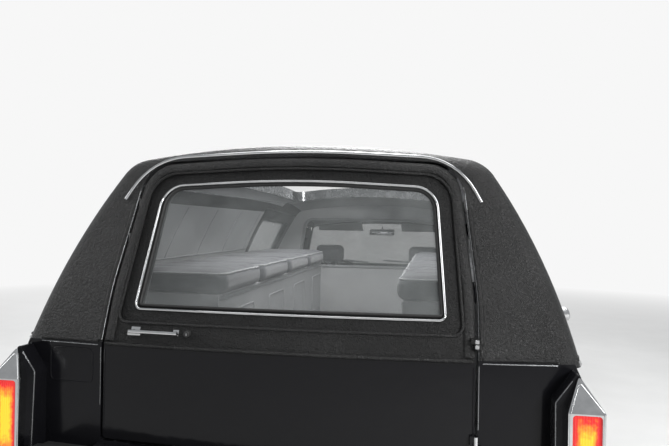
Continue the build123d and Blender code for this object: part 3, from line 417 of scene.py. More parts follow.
def rounded(corners, closed=True, step=0.03):
    """Points along an outline of (u, v, radius) corners, no further apart than the step."""
    points = []
    count = len(corners)
    for i, (u, v, radius) in enumerate(corners):
        here = Vector((u, v))
        if radius <= 0 or (not closed and i in (0, count - 1)):
            points.append(here)
            continue
        back = (Vector(corners[i - 1][:2]) - here).normalized()
        ahead = (Vector(corners[(i + 1) % count][:2]) - here).normalized()
        half = back.angle(ahead) / 2
        centre = here + (back + ahead).normalized() * (radius / math.sin(half))
        start = here + back * (radius / math.tan(half)) - centre
        turn = math.pi - 2 * half
        if back.x * ahead.y - back.y * ahead.x > 0:
            turn = -turn
        steps = max(2, math.ceil(abs(turn) / ARC_TURN), math.ceil(abs(turn) * radius / step))
        points += [centre + Matrix.Rotation(turn * k / steps, 2) @ start for k in range(steps + 1)]
    filled = []
    for i, point in enumerate(points):
        filled.append(point)
        if i + 1 == len(points) and not closed:
            break
        gap = points[(i + 1) % len(points)] - point
        pieces = math.ceil(gap.length / step)
        filled += [point + gap * k / pieces for k in range(1, pieces)]
    return filled


def directions(points, closed):
    """The unit vector along a course at each of its points."""
    ways = []
    last = len(points) - 1
    for i, point in enumerate(points):
        before = points[i - 1] if closed or i else point
        after = points[(i + 1) % len(points)] if closed or i < last else point
        ways.append((after - before).normalized())
    return ways


def offset(points, distance, closed=True):
    """Move an outline outwards, where outwards is to the right of its course."""
    ways = directions(points, closed)
    return [point + Vector((way.y, -way.x)) * distance for point, way in zip(points, ways)]


def looking(view):
    """The unit vector of a view."""
    axis, _, sign = VIEWS[view]
    return Vector([sign if k == axis else 0 for k in range(3)])


def cast(tree, view, u, v):
    """Where the line of a view through (u, v) meets a surface, and the surface's normal there."""
    axis, start, _ = VIEWS[view]
    place = [u, v]
    place.insert(axis, start)
    return tree.ray_cast(Vector(place), looking(view))[:2]


def lay(tree, view, flat, lift=0.0):
    """Drop points of a view onto a surface, as (point, outward normal) for each that lands."""
    path = []
    for u, v in flat:
        point, normal = cast(tree, view, u, v)
        if point:
            path.append((point, -normal if normal.dot(looking(view)) > 0 else normal))
    for _ in range(2):
        last = len(path) - 1
        normals = [path[max(i - 1, 0)][1] + 2 * n + path[min(i + 1, last)][1] for i, (_, n) in enumerate(path)]
        path = [(point, normal.normalized()) for (point, _), normal in zip(path, normals)]
    return [(point + normal * lift, normal) for point, normal in path]


def spot(tree, view, u, v):
    """The point and outward normal under one place in a view."""
    return lay(tree, view, [(u, v)])[0]


def evenly(start, end, count):
    """Evenly spaced values between two, both included."""
    return [start + (end - start) * k / count for k in range(count + 1)]


def straight(start, end, step=0.04):
    """Points along a line in a view."""
    start, end = Vector(start), Vector(end)
    return evenly(start, end, max(1, math.ceil((end - start).length / step)))


def level(start, end, v, step=0.04):
    """Points along a level line in a view."""
    return straight((start, v), (end, v), step)


def grid(start, end, step):
    """Evenly spaced numbers."""
    return evenly(start, end, max(1, round(abs(end - start) / step)))


def half_round(width, rise, steps=6):
    """A bead's section, as (across, out)."""
    turns = [math.pi * k / steps for k in range(steps + 1)]
    arc = [(-width / 2 * math.cos(t), rise * math.sin(t)) for t in turns]
    return [(-width / 2, -SUNK), *arc, (width / 2, -SUNK)]


def flat_bar(width, rise, edge=0.002):
    """A flat strip's section with eased edges."""
    half = width / 2
    top = [(-half, rise - edge), (-half + edge, rise), (half - edge, rise), (half, rise - edge)]
    return [(-half, -SUNK), *top, (half, -SUNK)]


def circle(radius, sides):
    """A round section."""
    turns = [math.tau * k / sides for k in range(sides)]
    return [(radius * math.cos(t), radius * math.sin(t)) for t in turns]


def strips(here, there, count, closed=True):
    """The faces between two rings of points that start at these numbers."""
    pairs = [(i, (i + 1) % count) for i in range(count if closed else count - 1)]
    return [(here + i, here + j, there + j, there + i) for i, j in pairs]


class Shape:
    """Points and faces gathered into one piece, with the finishes of its faces where it has more than one."""

    def __init__(self, verts=(), faces=(), kinds=()):
        self.verts, self.faces, self.kinds = [Vector(v) for v in verts], [list(f) for f in faces], kinds

    def add(self, verts, faces):
        """Take in a mesh."""
        base = len(self.verts)
        self.verts += [Vector(v) for v in verts]
        self.faces += [[base + i for i in face] for face in faces]
        return self

    def box(self, low, high, bevel=0.003, turn=None):
        """A box with rounded edges; turn is a matrix about its middle."""
        work = bmesh.new()
        bmesh.ops.create_cube(work, size=1)
        low, high = Vector(low), Vector(high)
        middle = (low + high) / 2
        for vert in work.verts:
            vert.co = Vector([c * s for c, s in zip(vert.co, high - low)])
        bmesh.ops.bevel(work, geom=work.edges[:], offset=bevel, segments=2, profile=0.5, affect="EDGES")
        work.verts.index_update()
        verts = [(turn @ v.co if turn else v.co) + middle for v in work.verts]
        self.add(verts, [[v.index for v in face.verts] for face in work.faces])
        work.free()
        return self

    def lathe(self, profile, centre, axis=(1, 0, 0), steps=40, loop=False):
        """Turn a section of (along, radius) round an axis."""
        axis = Vector(axis).normalized()
        side = axis.orthogonal().normalized()
        up = axis.cross(side)
        verts, faces = [], []
        count = len(profile)
        for k in range(steps):
            turn = math.tau * k / steps
            ray = side * math.cos(turn) + up * math.sin(turn)
            verts += [Vector(centre) + axis * along + ray * radius for along, radius in profile]
            faces += strips(k * count, (k + 1) % steps * count, count, loop)
        return self.add(verts, faces)

    def knob(self, profile, centre, axis, steps=24):
        """Turn a section that starts and ends on the axis, given without its first and last point."""
        return self.lathe([(profile[0][0], 0), *profile, (profile[-1][0], 0)], centre, axis, steps)

    def rod(self, start, end, radius, end_radius=None, steps=16):
        """A round bar with eased ends."""
        start, end = Vector(start), Vector(end)
        long = (end - start).length
        last = end_radius or radius
        ease = min(radius, last) * 0.25
        profile = [(0, radius - ease), (ease, radius), (long - ease, last), (long, last - ease)]
        return self.knob(profile, start, end - start, steps)

    def sweep(self, path, profile, closed=False):
        """Carry a section of (across, out) along a path of (point, normal)."""
        verts, faces = [], []
        count, last = len(profile), len(path) - 1
        ways = directions([point for point, _ in path], closed)
        for i, ((point, normal), along) in enumerate(zip(path, ways)):
            across = normal.cross(along).normalized()
            out = along.cross(across)
            verts += [point + across * a + out * o for a, o in profile]
            if closed or i < last:
                faces += strips(i * count, (i + 1) % len(path) * count, count)
        if not closed:
            faces += [range(count), range(last * count, (last + 1) * count)]
        return self.add(verts, faces)

    def run(self, tree, view, flat, profile, closed=False, lift=0.0):
        """Carry a section along points of a view, laid on a surface."""
        return self.sweep(lay(tree, view, flat, lift), profile, closed)

    def tube(self, points, radius, sides=10):
        """A round bar through points."""
        points = [Vector(p) for p in points]
        normal = (points[1] - points[0]).orthogonal().normalized()
        path = []
        for point, along in zip(points, directions(points, False)):
            normal = (normal - along * normal.dot(along)).normalized()
            path.append((point, normal))
        return self.sweep(path, circle(radius, sides))

    def cover(self, tree, view, across, along, thick=0.003, fold=0.05):
        """A sheet over a surface on grids of (start, end, step), left out where the surface steps away."""
        way, us, vs = looking(view), grid(*across), grid(*along)
        hits = {}
        for i, u in enumerate(us):
            for j, v in enumerate(vs):
                point, _ = cast(tree, view, u, v)
                if point:
                    hits[i, j] = point
        cells = []
        for i in range(len(us) - 1):
            for j in range(len(vs) - 1):
                ring = [(i, j), (i + 1, j), (i + 1, j + 1), (i, j + 1)]
                if all(key in hits for key in ring):
                    depths = [hits[key].dot(way) for key in ring]
                    if max(depths) - min(depths) < fold:
                        cells.append(ring)
        used = sorted({key for ring in cells for key in ring})
        index = {key: k for k, key in enumerate(used)}
        verts = [hits[key] - way * away for away in (thick, SHEET_GAP) for key in used]
        faces, edges = [], {}
        for ring in cells:
            top = [index[key] for key in ring]
            faces += [top, [len(used) + k for k in reversed(top)]]
            for a, b in zip(top, top[1:] + top[:1]):
                if (b, a) in edges:
                    del edges[b, a]
                else:
                    edges[a, b] = True
        faces += [(b, a, len(used) + a, len(used) + b) for a, b in edges]
        return self.add(verts, faces)

    def moved(self, change):
        """A copy of the shape moved by a vector, a matrix or a function of each point."""
        if isinstance(change, Matrix):
            verts = [change @ v for v in self.verts]
        elif isinstance(change, Vector):
            verts = [v + change for v in self.verts]
        else:
            verts = [change(v) for v in self.verts]
        return Shape(verts, self.faces, self.kinds)

    def flipped(self):
        """The same shape on the other side of the vehicle."""
        return Shape([(-v.x, v.y, v.z) for v in self.verts], [reversed(face) for face in self.faces])

    def both(self):
        """The shape and its mirror image."""
        other = self.flipped()
        return self.add(other.verts, other.faces)

    def on(self, sign):
        """The shape on the side with this sign."""
        return self if sign > 0 else self.flipped()

    def done(self, name, finish, body="coach", sharp=40, more=()):
        """Make the piece: smooth faces with sharp edges kept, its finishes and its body."""
        mesh = bpy.data.meshes.new(name)
        mesh.from_pydata([tuple(v) for v in self.verts], [], self.faces)
        for each in (finish, *more):
            mesh.materials.append(MATERIALS[each])
        for face, kind in zip(mesh.polygons, self.kinds):
            face.material_index = kind
        work = bmesh.new()
        work.from_mesh(mesh)
        bmesh.ops.remove_doubles(work, verts=work.verts, dist=1e-5)
        bmesh.ops.recalc_face_normals(work, faces=work.faces)
        work.to_mesh(mesh)
        work.free()
        mesh.shade_smooth()
        mesh.set_sharp_from_angle(angle=math.radians(sharp))
        made = bpy.data.objects.new(name, mesh)
        bpy.context.scene.collection.objects.link(made)
        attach(made, body)
        return made

    def pair(self, name, finish, body="coach"):
        """The shape as a right-hand piece, and its mirror image as a left-hand one, each on its side's body."""
        for side, sign in SIDES:
            home = body if body == "coach" else f"{body}_{side}"
            self.on(sign).done(f"{name}_{side}", finish, home)


def boxes(rows, at=(0, 0, 0)):
    """Boxes of (low corner, high corner, bevel), their corners counted from a place."""
    shape = Shape()
    for low, high, bevel in rows:
        shape.box([c + a for c, a in zip(low, at)], [c + a for c, a in zip(high, at)], bevel)
    return shape


def laid(on, view, section, *courses, closed=False, lift=0.0):
    """A section carried along courses in a view, laid on a CAD node or a search tree."""
    tree = surface(on) if isinstance(on, str) else on
    shape = Shape()
    for course in courses:
        shape.run(tree, view, course, section, closed, lift)
    return shape


# Tail

tail = surface("tailgate", "upper_quarters", "roof_panel", "lower_quarters")
door_outline = rounded(mirrored(TAILGATE, TAILGATE_CROWN))
window_outline = rounded(mirrored(TAILGATE_WINDOW, WINDOW_CROWN))
recess_outline = rounded(mirrored(TAILGATE_RECESS, RECESS_CROWN))
above_belt = [point for point in door_outline if point.y > BELT_Z + 0.008]
below_belt = [point for point in door_outline if 0.72 < point.y < BELT_Z - 0.004]

BELT_BEAD, HEM = half_round(0.014, 0.006), half_round(0.011, 0.005)
FINE_EDGE = half_round(0.004, 0.002, 4)
# Beads on the pillar beside the tailgate: name, distance from its edge, top, section, finish; the thin bright
# bead is a painted highlight of the pillar's rolled edge
JAMB_BEADS = [
    ("jamb_bead", 0.019, 1.48, half_round(0.016, 0.006), "vinyl"),
    ("jamb_painted_highlight", 0.0112, 1.60, half_round(0.0032, 0.0016), "dull_trim"),
]
PAINT_EDGE_IN = 0.004
# Heights of the vinyl's hem and the bright line, along the sides and across the tail
BELT_HEM_Z, TAIL_HEM_Z, TAIL_LINE_Z, BELT_LINE_Z = 1.012, 1.010, 0.9975, 0.9985
BELT_REAR, BELT_FRONT = -2.955, DOOR_REAR - 0.010


def tailgate_trim():
    """Window frame and rubber, raised ring, rolled edge, belt hem and the edges of the tailgate's gap; the thin
    bright beads on the pillars are painted highlights of their rolled edges.
    """
    shape = laid(tail, "rear", half_round(0.0095, 0.007, 8), offset(window_outline, 0.0055), closed=True)
    shape.done("tailgate_window_frame", "chrome", "tail_door")
    shape = laid("tailgate_glass", "rear", half_round(0.012, 0.010), offset(window_outline, -0.005), closed=True)
    shape.done("tailgate_window_rubber", "seal", "tail_door")
    shape = laid(tail, "rear", half_round(0.010, 0.004), offset(recess_outline, 0.002), closed=True)
    shape.run(tail, "rear", offset(above_belt, -0.0175, False), half_round(0.033, 0.0075, 10))
    shape.run(tail, "rear", level(-0.590, 0.590, 1.004), half_round(0.013, 0.006))
    shape.done("tailgate_beads", "vinyl", "tail_door")
    for name, away, top, section, finish in JAMB_BEADS:
        points = [point for point in offset(above_belt, away, False) if point.x < 0 and point.y < top]
        path = [(Vector((-p.x, p.y, p.z)), Vector((-n.x, n.y, n.z))) for p, n in lay(tail, "rear", points)]
        Shape().sweep(path, section).pair(name, finish)
    # A thin bright bead down the pillar below the belt, a painted highlight of the gap's rolled edge
    shape = laid(tail, "rear", half_round(0.0032, 0.0016, 4), straight((0.6112, 0.80), (0.6112, 0.990)))
    shape.pair("jamb_painted_highlight_low", "dull_trim")
    for side, sign in SIDES:
        points = [Vector((p.x - sign * PAINT_EDGE_IN, p.y)) for p in below_belt if p.x * sign > 0]
        shape = laid(tail, "rear", half_round(0.005, 0.0022, 4), points)
        shape.done(f"tailgate_paint_edge_{side}", "paint", "tail_door")


def roof_strip():
    """The bright drip strip that arches over the tailgate."""
    outline = rounded(mirrored(ROOF_STRIP, ROOF_STRIP_CROWN), closed=False)
    laid(tail, "rear", half_round(0.012, 0.007, 8), outline).done("roof_drip_strip", "chrome")


def belt_trim():
    """The vinyl's hem and the bright line under it, across the tail quarters and along the body sides."""
    side = surface("upper_quarters")
    hem = laid(tail, "rear", HEM, level(0.624, 0.842, TAIL_HEM_Z))
    hem.run(side, "right", level(BELT_REAR, BELT_FRONT, BELT_HEM_Z), HEM).pair("belt_hem", "vinyl")
    line = laid(tail, "rear", half_round(0.0045, 0.0025), level(0.622, 0.842, TAIL_LINE_Z))
    line.pair("belt_line", "dull_trim")
    laid(side, "right", BELT_BEAD, level(BELT_REAR, BELT_FRONT, BELT_LINE_Z)).pair("belt_moulding", "chrome")


def fin_painted_highlights():
    """A fine bright bead up the inner corner of each fin, a painted highlight of the fin's rounded edge."""
    corner = rounded([(0.8255, 0.66, 0), (0.8255, 0.905, 0.012), (0.8855, 0.9875, 0)], closed=False)
    laid("lower_quarters", "rear", FINE_EDGE, corner).pair("fin_painted_highlight", "dull_trim")


# Tailgate hinges: height of the gap between the halves, and height of each half
HINGE_AXIS = (0.6045, -2.9929)
HINGE_SPLITS = ((0.752, 0.030), (1.057, 0.014))
HINGE_GAP, SLEEVE_R = 0.0006, 0.0078


def hinge_sleeves():
    """Bright sleeves round the two halves of each tailgate hinge."""
    for part, way, body in (("body", -1, "coach"), ("door", 1, "tail_door")):
        sleeves = Shape()
        for split, tall in HINGE_SPLITS:
            start = split + way * HINGE_GAP
            sleeves.rod((*HINGE_AXIS, start), (*HINGE_AXIS, start + way * tall), SLEEVE_R)
        sleeves.done(f"hinge_sleeves_{part}", "chrome", body)


HANDLE_Z, LOCK_X, LOCK_PROUD = 1.049, -0.306, 0.0165


def tailgate_fittings():
    """Plates under the pull bar's feet, and the dark cover of the lock."""
    panel = surface("tailgate")
    plates = Shape()
    for x, half, tall in ((-0.492, 0.016, 0.026), (-0.348, 0.010, 0.020)):
        plates.run(panel, "rear", level(x - half, x + half, HANDLE_Z, half), flat_bar(tall, 0.003, 0.001))
    plates.done("tailgate_handle_plates", "chrome", "tail_door")
    centre, _ = spot(panel, "rear", LOCK_X, HANDLE_Z)
    rim, well = LOCK_PROUD + 0.002, LOCK_PROUD + 0.0008
    section = [(0, 0.0105), (LOCK_PROUD + 0.0005, 0.0100), (rim, 0.0085), (rim, 0.0060), (well, 0.0055)]
    Shape().knob(section, centre, (0, -1, 0), 32).done("tailgate_lock_cover", "steel_black", "tail_door")
    face = Vector((centre.x, centre.y - LOCK_PROUD, HANDLE_Z))
    slot = Shape().box(face - Vector((0.001, 0.0016, 0.0045)), face + Vector((0.001, 0.001, 0.0045)), 0.0004)
    slot.done("tailgate_key_slot", "chrome", "tail_door")


tailgate_trim()
roof_strip()
belt_trim()
fin_painted_highlights()
hinge_sleeves()
tailgate_fittings()

# Sides


def window_trim():
    """Bright frames and rubbers of the side windows and the windscreen."""
    for door, outline in (("front", FRONT_WINDOW), ("rear", REAR_WINDOW)):
        points = rounded(outline)
        name, body = f"{door}_door", f"door_{door}"
        outer, inner = offset(points, 0.008), offset(points, -0.005)
        frame_bead = laid(f"{name}_right", "right", half_round(0.013, 0.006), outer, closed=True)
        frame_bead.pair(f"{name}_window_frame", "chrome", body)
        rubber = laid(f"{name}_glass_right", "right", half_round(0.013, 0.008), inner, closed=True)
        rubber.pair(f"{name}_window_rubber", "seal", body)
    points = rounded(mirrored(SCREEN, SCREEN_CROWN))
    shape = laid("screen_surround", "front", half_round(0.015, 0.006), offset(points, 0.011), closed=True)
    shape.done("screen_frame", "chrome")
    shape = laid("screen_glass", "front", half_round(0.016, 0.007), offset(points, -0.007), closed=True)
    shape.done("screen_rubber", "seal")


# Mouldings along the side: node, body and stretches (y start, y end)
SIDE_LINES = [
    ("fenders", "coach", [(1.352, 1.675), (2.535, 2.995)]),
    ("front_door_right", "door_front", [(0.150, 1.322)]),
    ("rear_door_right", "door_rear", [(-0.752, 0.052)]),
    ("lower_quarters", "coach", [(-1.155, -0.780), (-2.925, -1.995)]),
]
# Belt mouldings of the doors: door, y start, y end
BELT_LINES = (("front", 0.150, 1.105), ("rear", -0.752, 0.052))
ROCKERS = ((-0.760, 1.330), (1.345, 1.672), (-1.150, -0.775))
MOULDING_Z, ROCKER_Z = 0.655, 0.275
# Wheel openings: node, axle, half length, top, corner radius, lower ends in front and behind
ARCHES = [
    ("fenders", FRONT_AXLE, 0.412, 0.738, 0.23, 0.445, 0.255),
    ("lower_quarters", REAR_AXLE, 0.405, 0.672, 0.19, 0.255, 0.275),
]
DRIP_RAIL = [(-0.755, 1.527, 0), (0.100, 1.485, 0.6), (0.745, 1.358, 0.35), (1.190, 0.996, 0)]
LANDAU_FEET = ((-2.668, 1.117), (-1.470, 1.443), (-2.090, 1.311))
LANDAU_DOME = [(0, 0.021), (0.003, 0.021), (0.007, 0.016), (0.010, 0.008), (0.011, 0)]
LANDAU_RIB = [
    (-2.645, 1.118, 0), (-2.490, 1.121, 0.14), (-2.100, 1.307, 0.3), (-1.640, 1.444, 0.14), (-1.500, 1.443, 0),
]


def side_trim():
    """Side moulding with its dark insert, belt lines on the doors, rocker moulding, arch lips and drip rail."""
    for on, body, stretches in SIDE_LINES:
        tree, name = surface(on), on.removesuffix("_right")
        courses = [level(start, end, MOULDING_Z) for start, end in stretches]
        laid(tree, "right", flat_bar(0.030, 0.008), *courses).pair(f"side_moulding_{name}", "chrome", body)
        courses = [level(start + 0.012, end - 0.012, MOULDING_Z) for start, end in stretches]
        insert = laid(tree, "right", half_round(0.016, 0.005), *courses, lift=0.006)
        insert.pair(f"side_moulding_insert_{name}", "seal", body)
    for door, start, end in BELT_LINES:
        belt = laid(f"{door}_door_right", "right", BELT_BEAD, level(start, end, BELT_LINE_Z))
        belt.pair(f"belt_moulding_{door}_door", "chrome", f"door_{door}")
    rocker = surface("sills_and_pillars", "fenders", "lower_quarters")
    courses = [level(start, end, ROCKER_Z) for start, end in ROCKERS]
    laid(rocker, "right", flat_bar(0.044, 0.005), *courses).pair("rocker_moulding", "chrome")
    lips = Shape()
    for on, axle, half, top, radius, front_low, rear_low in ARCHES:
        corners = [(axle + half, front_low, 0), (axle + half, top, radius)]
        corners += [(axle - half, top, radius), (axle - half, rear_low, 0)]
        lips.run(surface(on), "right", offset(rounded(corners, False), 0.008, False), half_round(0.016, 0.006))
    lips.pair("wheel_arch_lips", "chrome")
    roof = surface("roof_panel", "screen_surround", "upper_quarters")
    laid(roof, "right", half_round(0.011, 0.009), rounded(DRIP_RAIL, False)).pair("drip_rail", "chrome")
    bars = surface("landau_bars")
    bosses = Shape()
    for place in LANDAU_FEET:
        bosses.lathe(LANDAU_DOME, *spot(bars, "right", *place), 28)
    bosses.pair("landau_bosses", "chrome")
    laid(bars, "right", BELT_BEAD, rounded(LANDAU_RIB, False)).pair("landau_ribs", "chrome")


# Door pulls: door, and the grip's inner, rear, lower corner
PULLS = (("front", (0.968, 0.215, 0.838)), ("rear", (0.969, -0.690, 0.858)))
# From that corner: the grip's skin, the middles of its feet along and down, and the lock button along and down
PULL_SKIN = [((-0.0006, -0.0012, -0.0012), (0.0172, 0.1512, 0.0252), 0.006)]
PULL_FEET, FOOT_HALF, FOOT_DOWN, BUTTON_ALONG, BUTTON_DOWN = (0.020, 0.130), 0.016, 0.018, 0.075, 0.060
BUTTON = [(-0.001, 0.013), (0.002, 0.013), (0.004, 0.010)]
KEY_SLOT = [((0.0025, -0.0012, -0.006), (0.0046, 0.0012, 0.006), 0.0005)]
MIRROR_GLASS = [((0.996, 1.0600, 1.021), (1.114, 1.0635, 1.107), 0.0012)]
MIRROR_RIM, MIRROR_RIM_Y = rectangle(0.994, 1.116, 1.019, 1.109, 0.014), 1.0615
# Side lamps: name, node, finish, y start, y end, height of the lens
SIDE_LAMPS = [
    ("marker_front", "fenders", "lamp_amber", 2.840, 2.950, 0.040),
    ("cornering_lamp", "fenders", "lamp_clear", 2.640, 2.790, 0.062),
    ("marker_rear", "lower_quarters", "lamp_side_red", -2.850, -2.740, 0.040),
]
SIDE_LAMP_Z = 0.735
FILLER_LID = rectangle(-0.806, -0.642, 0.868, 0.982, 0.02)


def side_fittings():
    """Bright skins of the door pulls, lock buttons, mirror glasses, side lamps and the filler lid's edge."""
    for door, corner in PULLS:
        tree, body = surface(f"{door}_door_right"), f"door_{door}"
        _, y, z = corner
        skin = boxes(PULL_SKIN, corner)
        for foot in PULL_FEET:
            course = level(y + foot - FOOT_HALF, y + foot + FOOT_HALF, z - FOOT_DOWN, 0.016)
            skin.run(tree, "right", course, flat_bar(0.010, 0.003, 0.001))
        centre, normal = spot(tree, "right", y + BUTTON_ALONG, z - BUTTON_DOWN)
        skin.knob(BUTTON, centre, normal).pair(f"{body}_pull", "chrome", body)
        boxes(KEY_SLOT, centre).pair(f"{body}_key_slot", "seal", body)
    boxes(MIRROR_GLASS).pair("mirror_glass", "mirror", "door_front")
    path = [(Vector((p.x, MIRROR_RIM_Y, p.y)), Vector((0, -1, 0))) for p in rounded(MIRROR_RIM, step=0.01)]
    Shape().sweep(path, half_round(0.006, 0.003), True).pair("mirror_rim", "chrome", "door_front")
    for name, on, finish, start, end, tall in SIDE_LAMPS:
        shape = laid(on, "right", flat_bar(tall + 0.012, 0.005), level(start - 0.006, end + 0.006, SIDE_LAMP_Z))
        shape.pair(f"{name}_frame", "chrome")
        lamp = laid(on, "right", flat_bar(tall, 0.008, 0.003), level(start, end, SIDE_LAMP_Z), lift=0.003)
        lamp.pair(name, finish)
    edge = laid(tail, "rear", half_round(0.005, 0.002, 4), rounded(FILLER_LID, step=0.012), closed=True)
    edge.done("filler_lid_edge", "paint")


window_trim()
side_trim()
side_fittings()

# Front and rear ends

LAMP_POCKETS = ((0.424, 0.618), (0.640, 0.834))
LAMP_LOW, LAMP_HIGH = 0.664, 0.796
# Bumper fittings: end, strip height and half length, returns from and to, guard's corners, its pad's corners
BUMPERS = [
    (
        "front", 0.475, 0.860, (2.575, 3.030),
        ((0.298, 3.120, 0.395), (0.362, 3.186, 0.605)),
        ((0.310, 3.180, 0.425), (0.350, 3.196, 0.580)),
    ),
    (
        "rear", 0.526, 0.870, (-3.020, -2.615),
        ((0.402, -3.184, 0.425), (0.462, -3.120, 0.628)),
        ((0.414, -3.194, 0.455), (0.450, -3.178, 0.600)),
    ),
]
# Bumper lamps: end, frame's name and section, lamp's name, finish and section, start, end, height, lift
BUMPER_LAMPS = [
    (
        "front", "signal_frames", flat_bar(0.046, 0.004), 0.520, 0.760,
        "turn_signals", "lamp_amber", flat_bar(0.034, 0.007, 0.003), 0.526, 0.754, 0.548, 0.002,
    ),
    (
        "rear", "reversing_lamp_frames", flat_bar(0.050, 0.011), 0.560, 0.730,
        "reversing_lamps", "lamp_clear", flat_bar(0.038, 0.009, 0.004), 0.568, 0.722, 0.526, 0.006,
    ),
]
# Wipers: tip and heel of the blade across, and its pivot on the cowl
WIPERS = ((-0.640, -0.180, (-0.100, 1.385)), (-0.020, 0.440, (0.520, 1.385)))


def bumper_trim():
    """Dark rub strips with their returns, guards with pads, and the lamps let into the bumpers."""
    for end, z, reach, returns, guard, pad in BUMPERS:
        tree, section = surface(f"{end}_bumper"), half_round(0.034, 0.009)
        laid(tree, end, section, level(-reach, reach, z)).done(f"{end}_bumper_rub_strip", "seal")
        laid(tree, "right", section, level(*returns, z)).pair(f"{end}_bumper_rub_strip_end", "seal")
        Shape().box(*guard, 0.012).both().done(f"{end}_bumper_guards", "chrome")
        Shape().box(*pad, 0.006).both().done(f"{end}_bumper_guard_pads", "seal")
    for end, case, rim, case_start, case_end, name, finish, section, start, stop, z, lift in BUMPER_LAMPS:
        tree = surface(f"{end}_bumper")
        laid(tree, end, rim, level(case_start, case_end, z)).both().done(case, "steel_black")
        laid(tree, end, section, level(start, stop, z), lift=lift).both().done(name, finish)


def front_end():
    """Headlamp rims, bonnet strip, cowl slots and wipers."""
    nose, lamps = surface("nose_panel"), surface("headlamps")
    rims, bezels = Shape(), Shape()
    for left, right in LAMP_POCKETS:
        outline = rounded(rectangle(left, right, LAMP_LOW, LAMP_HIGH, 0.012), step=0.02)
        rims.run(nose, "front", offset(outline, 0.005), half_round(0.010, 0.005), True)
        inner = rectangle(left + 0.006, right - 0.006, LAMP_LOW + 0.006, LAMP_HIGH - 0.006, 0.01)
        bezels.run(lamps, "front", rounded(inner, step=0.02), half_round(0.009, 0.006), True)
    rims.both().done("headlamp_rims", "chrome")
    bezels.both().done("headlamp_inner_rims", "steel_black")
    strip = laid("hood", "above", half_round(0.010, 0.006), straight((0.0, 1.440), (0.0, 2.975)))
    strip.done("hood_strip", "chrome", "hood_lid")
    cowl, pane = surface("screen_surround"), surface("screen_glass")
    stretches = ((-0.600, -0.330), (-0.290, -0.020), (0.020, 0.290), (0.330, 0.600))
    courses = [level(start, end, y) for y in (1.352, 1.366, 1.380) for start, end in stretches]
    laid(cowl, "above", flat_bar(0.006, 0.0015, 0.0005), *courses).done("cowl_slots", "seal")
    wipers = Shape()
    for tip, heel, pivot in WIPERS:
        blade = lay(pane, "front", straight((tip, 1.052), (heel, 1.030)), 0.001)
        wipers.sweep(blade, flat_bar(0.007, 0.014, 0.003))
        foot, _ = spot(cowl, "above", *pivot)
        middle, normal = blade[len(blade) // 2]
        end = middle + normal * 0.017
        bend = end.lerp(foot, 0.5) + Vector((0, 0.006, 0.016))
        wipers.tube([foot, foot + Vector((0, -0.004, 0.018)), bend, end], 0.0045, 8)
        wipers.rod(foot - Vector((0, 0, 0.002)), foot + Vector((0, 0, 0.022)), 0.012)
    wipers.done("wipers", "steel_black")


def rear_end():
    """The joint between bumper and body, the sill under the tailgate and the edges of the lamp bezels."""
    gasket = laid("lower_quarters", "rear", flat_bar(0.020, 0.034, 0.006), level(-0.810, 0.810, 0.648))
    gasket.done("bumper_gasket", "seal")
    Shape().box((-0.612, -3.022, 0.655), (0.612, -2.905, 0.679), 0.003).done("tail_sill", "paint")
    line = [(0.857, 0.640), (0.857, 0.888), (0.887, 0.970), (0.948, 0.894), (0.948, 0.640)]
    outline = rounded([(u, v, 0.006) for u, v in line], step=0.02)
    edge = laid("lamp_bezels", "rear", FINE_EDGE, outline, closed=True)
    edge.both().done("lamp_bezel_beads", "chrome")


bumper_trim()
front_end()
rear_end()

# Wheels

GROOVES = (-0.052, -0.018, 0.018, 0.052)
# A groove's section, as (across, depth)
GROOVE = ((-0.005, 0), (-0.004, 0.007), (0.004, 0.007), (0.005, 0))
TREAD_HALF, SHOULDER, CUT_DEEP = 0.078, 0.057, 0.006
# Smallest radius of the shoulder's blocks, and half width of the middle rib that the cross grooves cut
BLOCK_R, RIB_HALF = 0.355, 0.012
# Outer half of the tyre's section past the tread, as (across, radius)
SIDEWALL = [
    (0.092, 0.365), (0.104, 0.358), (0.112, 0.344), (0.1165, 0.322), (0.1173, 0.300),
    (0.1168, 0.286), (0.1182, 0.284), (0.1182, 0.244), (0.1165, 0.242), (0.1155, 0.232),
    (0.1165, 0.230), (0.1150, 0.226), (0.1120, 0.212), (0.1070, 0.202), (0.1035, 0.194),
]
# Pale band: its inner and outer radius, and how far out on the tyre it starts
BAND, BAND_OUT = (0.243, 0.285), 0.11
PITCHES = 60
# Share of a tread pitch at which each ring stands, and whether it is in a cross groove
RINGS = ((0.0, False), (0.78, False), (0.83, True), (0.95, True))
# Bright trim of the wheel, as (out from the wheel's middle, radius)
TRIM_RING = [(0.1120, 0.2025), (0.1165, 0.2020), (0.1190, 0.1975), (0.1185, 0.1900), (0.1130, 0.1860)]
TRIM_BOSS = [(0.1290, 0.0), (0.1330, 0.0), (0.1325, 0.018), (0.1300, 0.028), (0.1240, 0.0335), (0.1220, 0.0335)]
TRIM_BEAD = [(0.1180, 0.0770), (0.1215, 0.0745), (0.1215, 0.0715), (0.1180, 0.0690)]


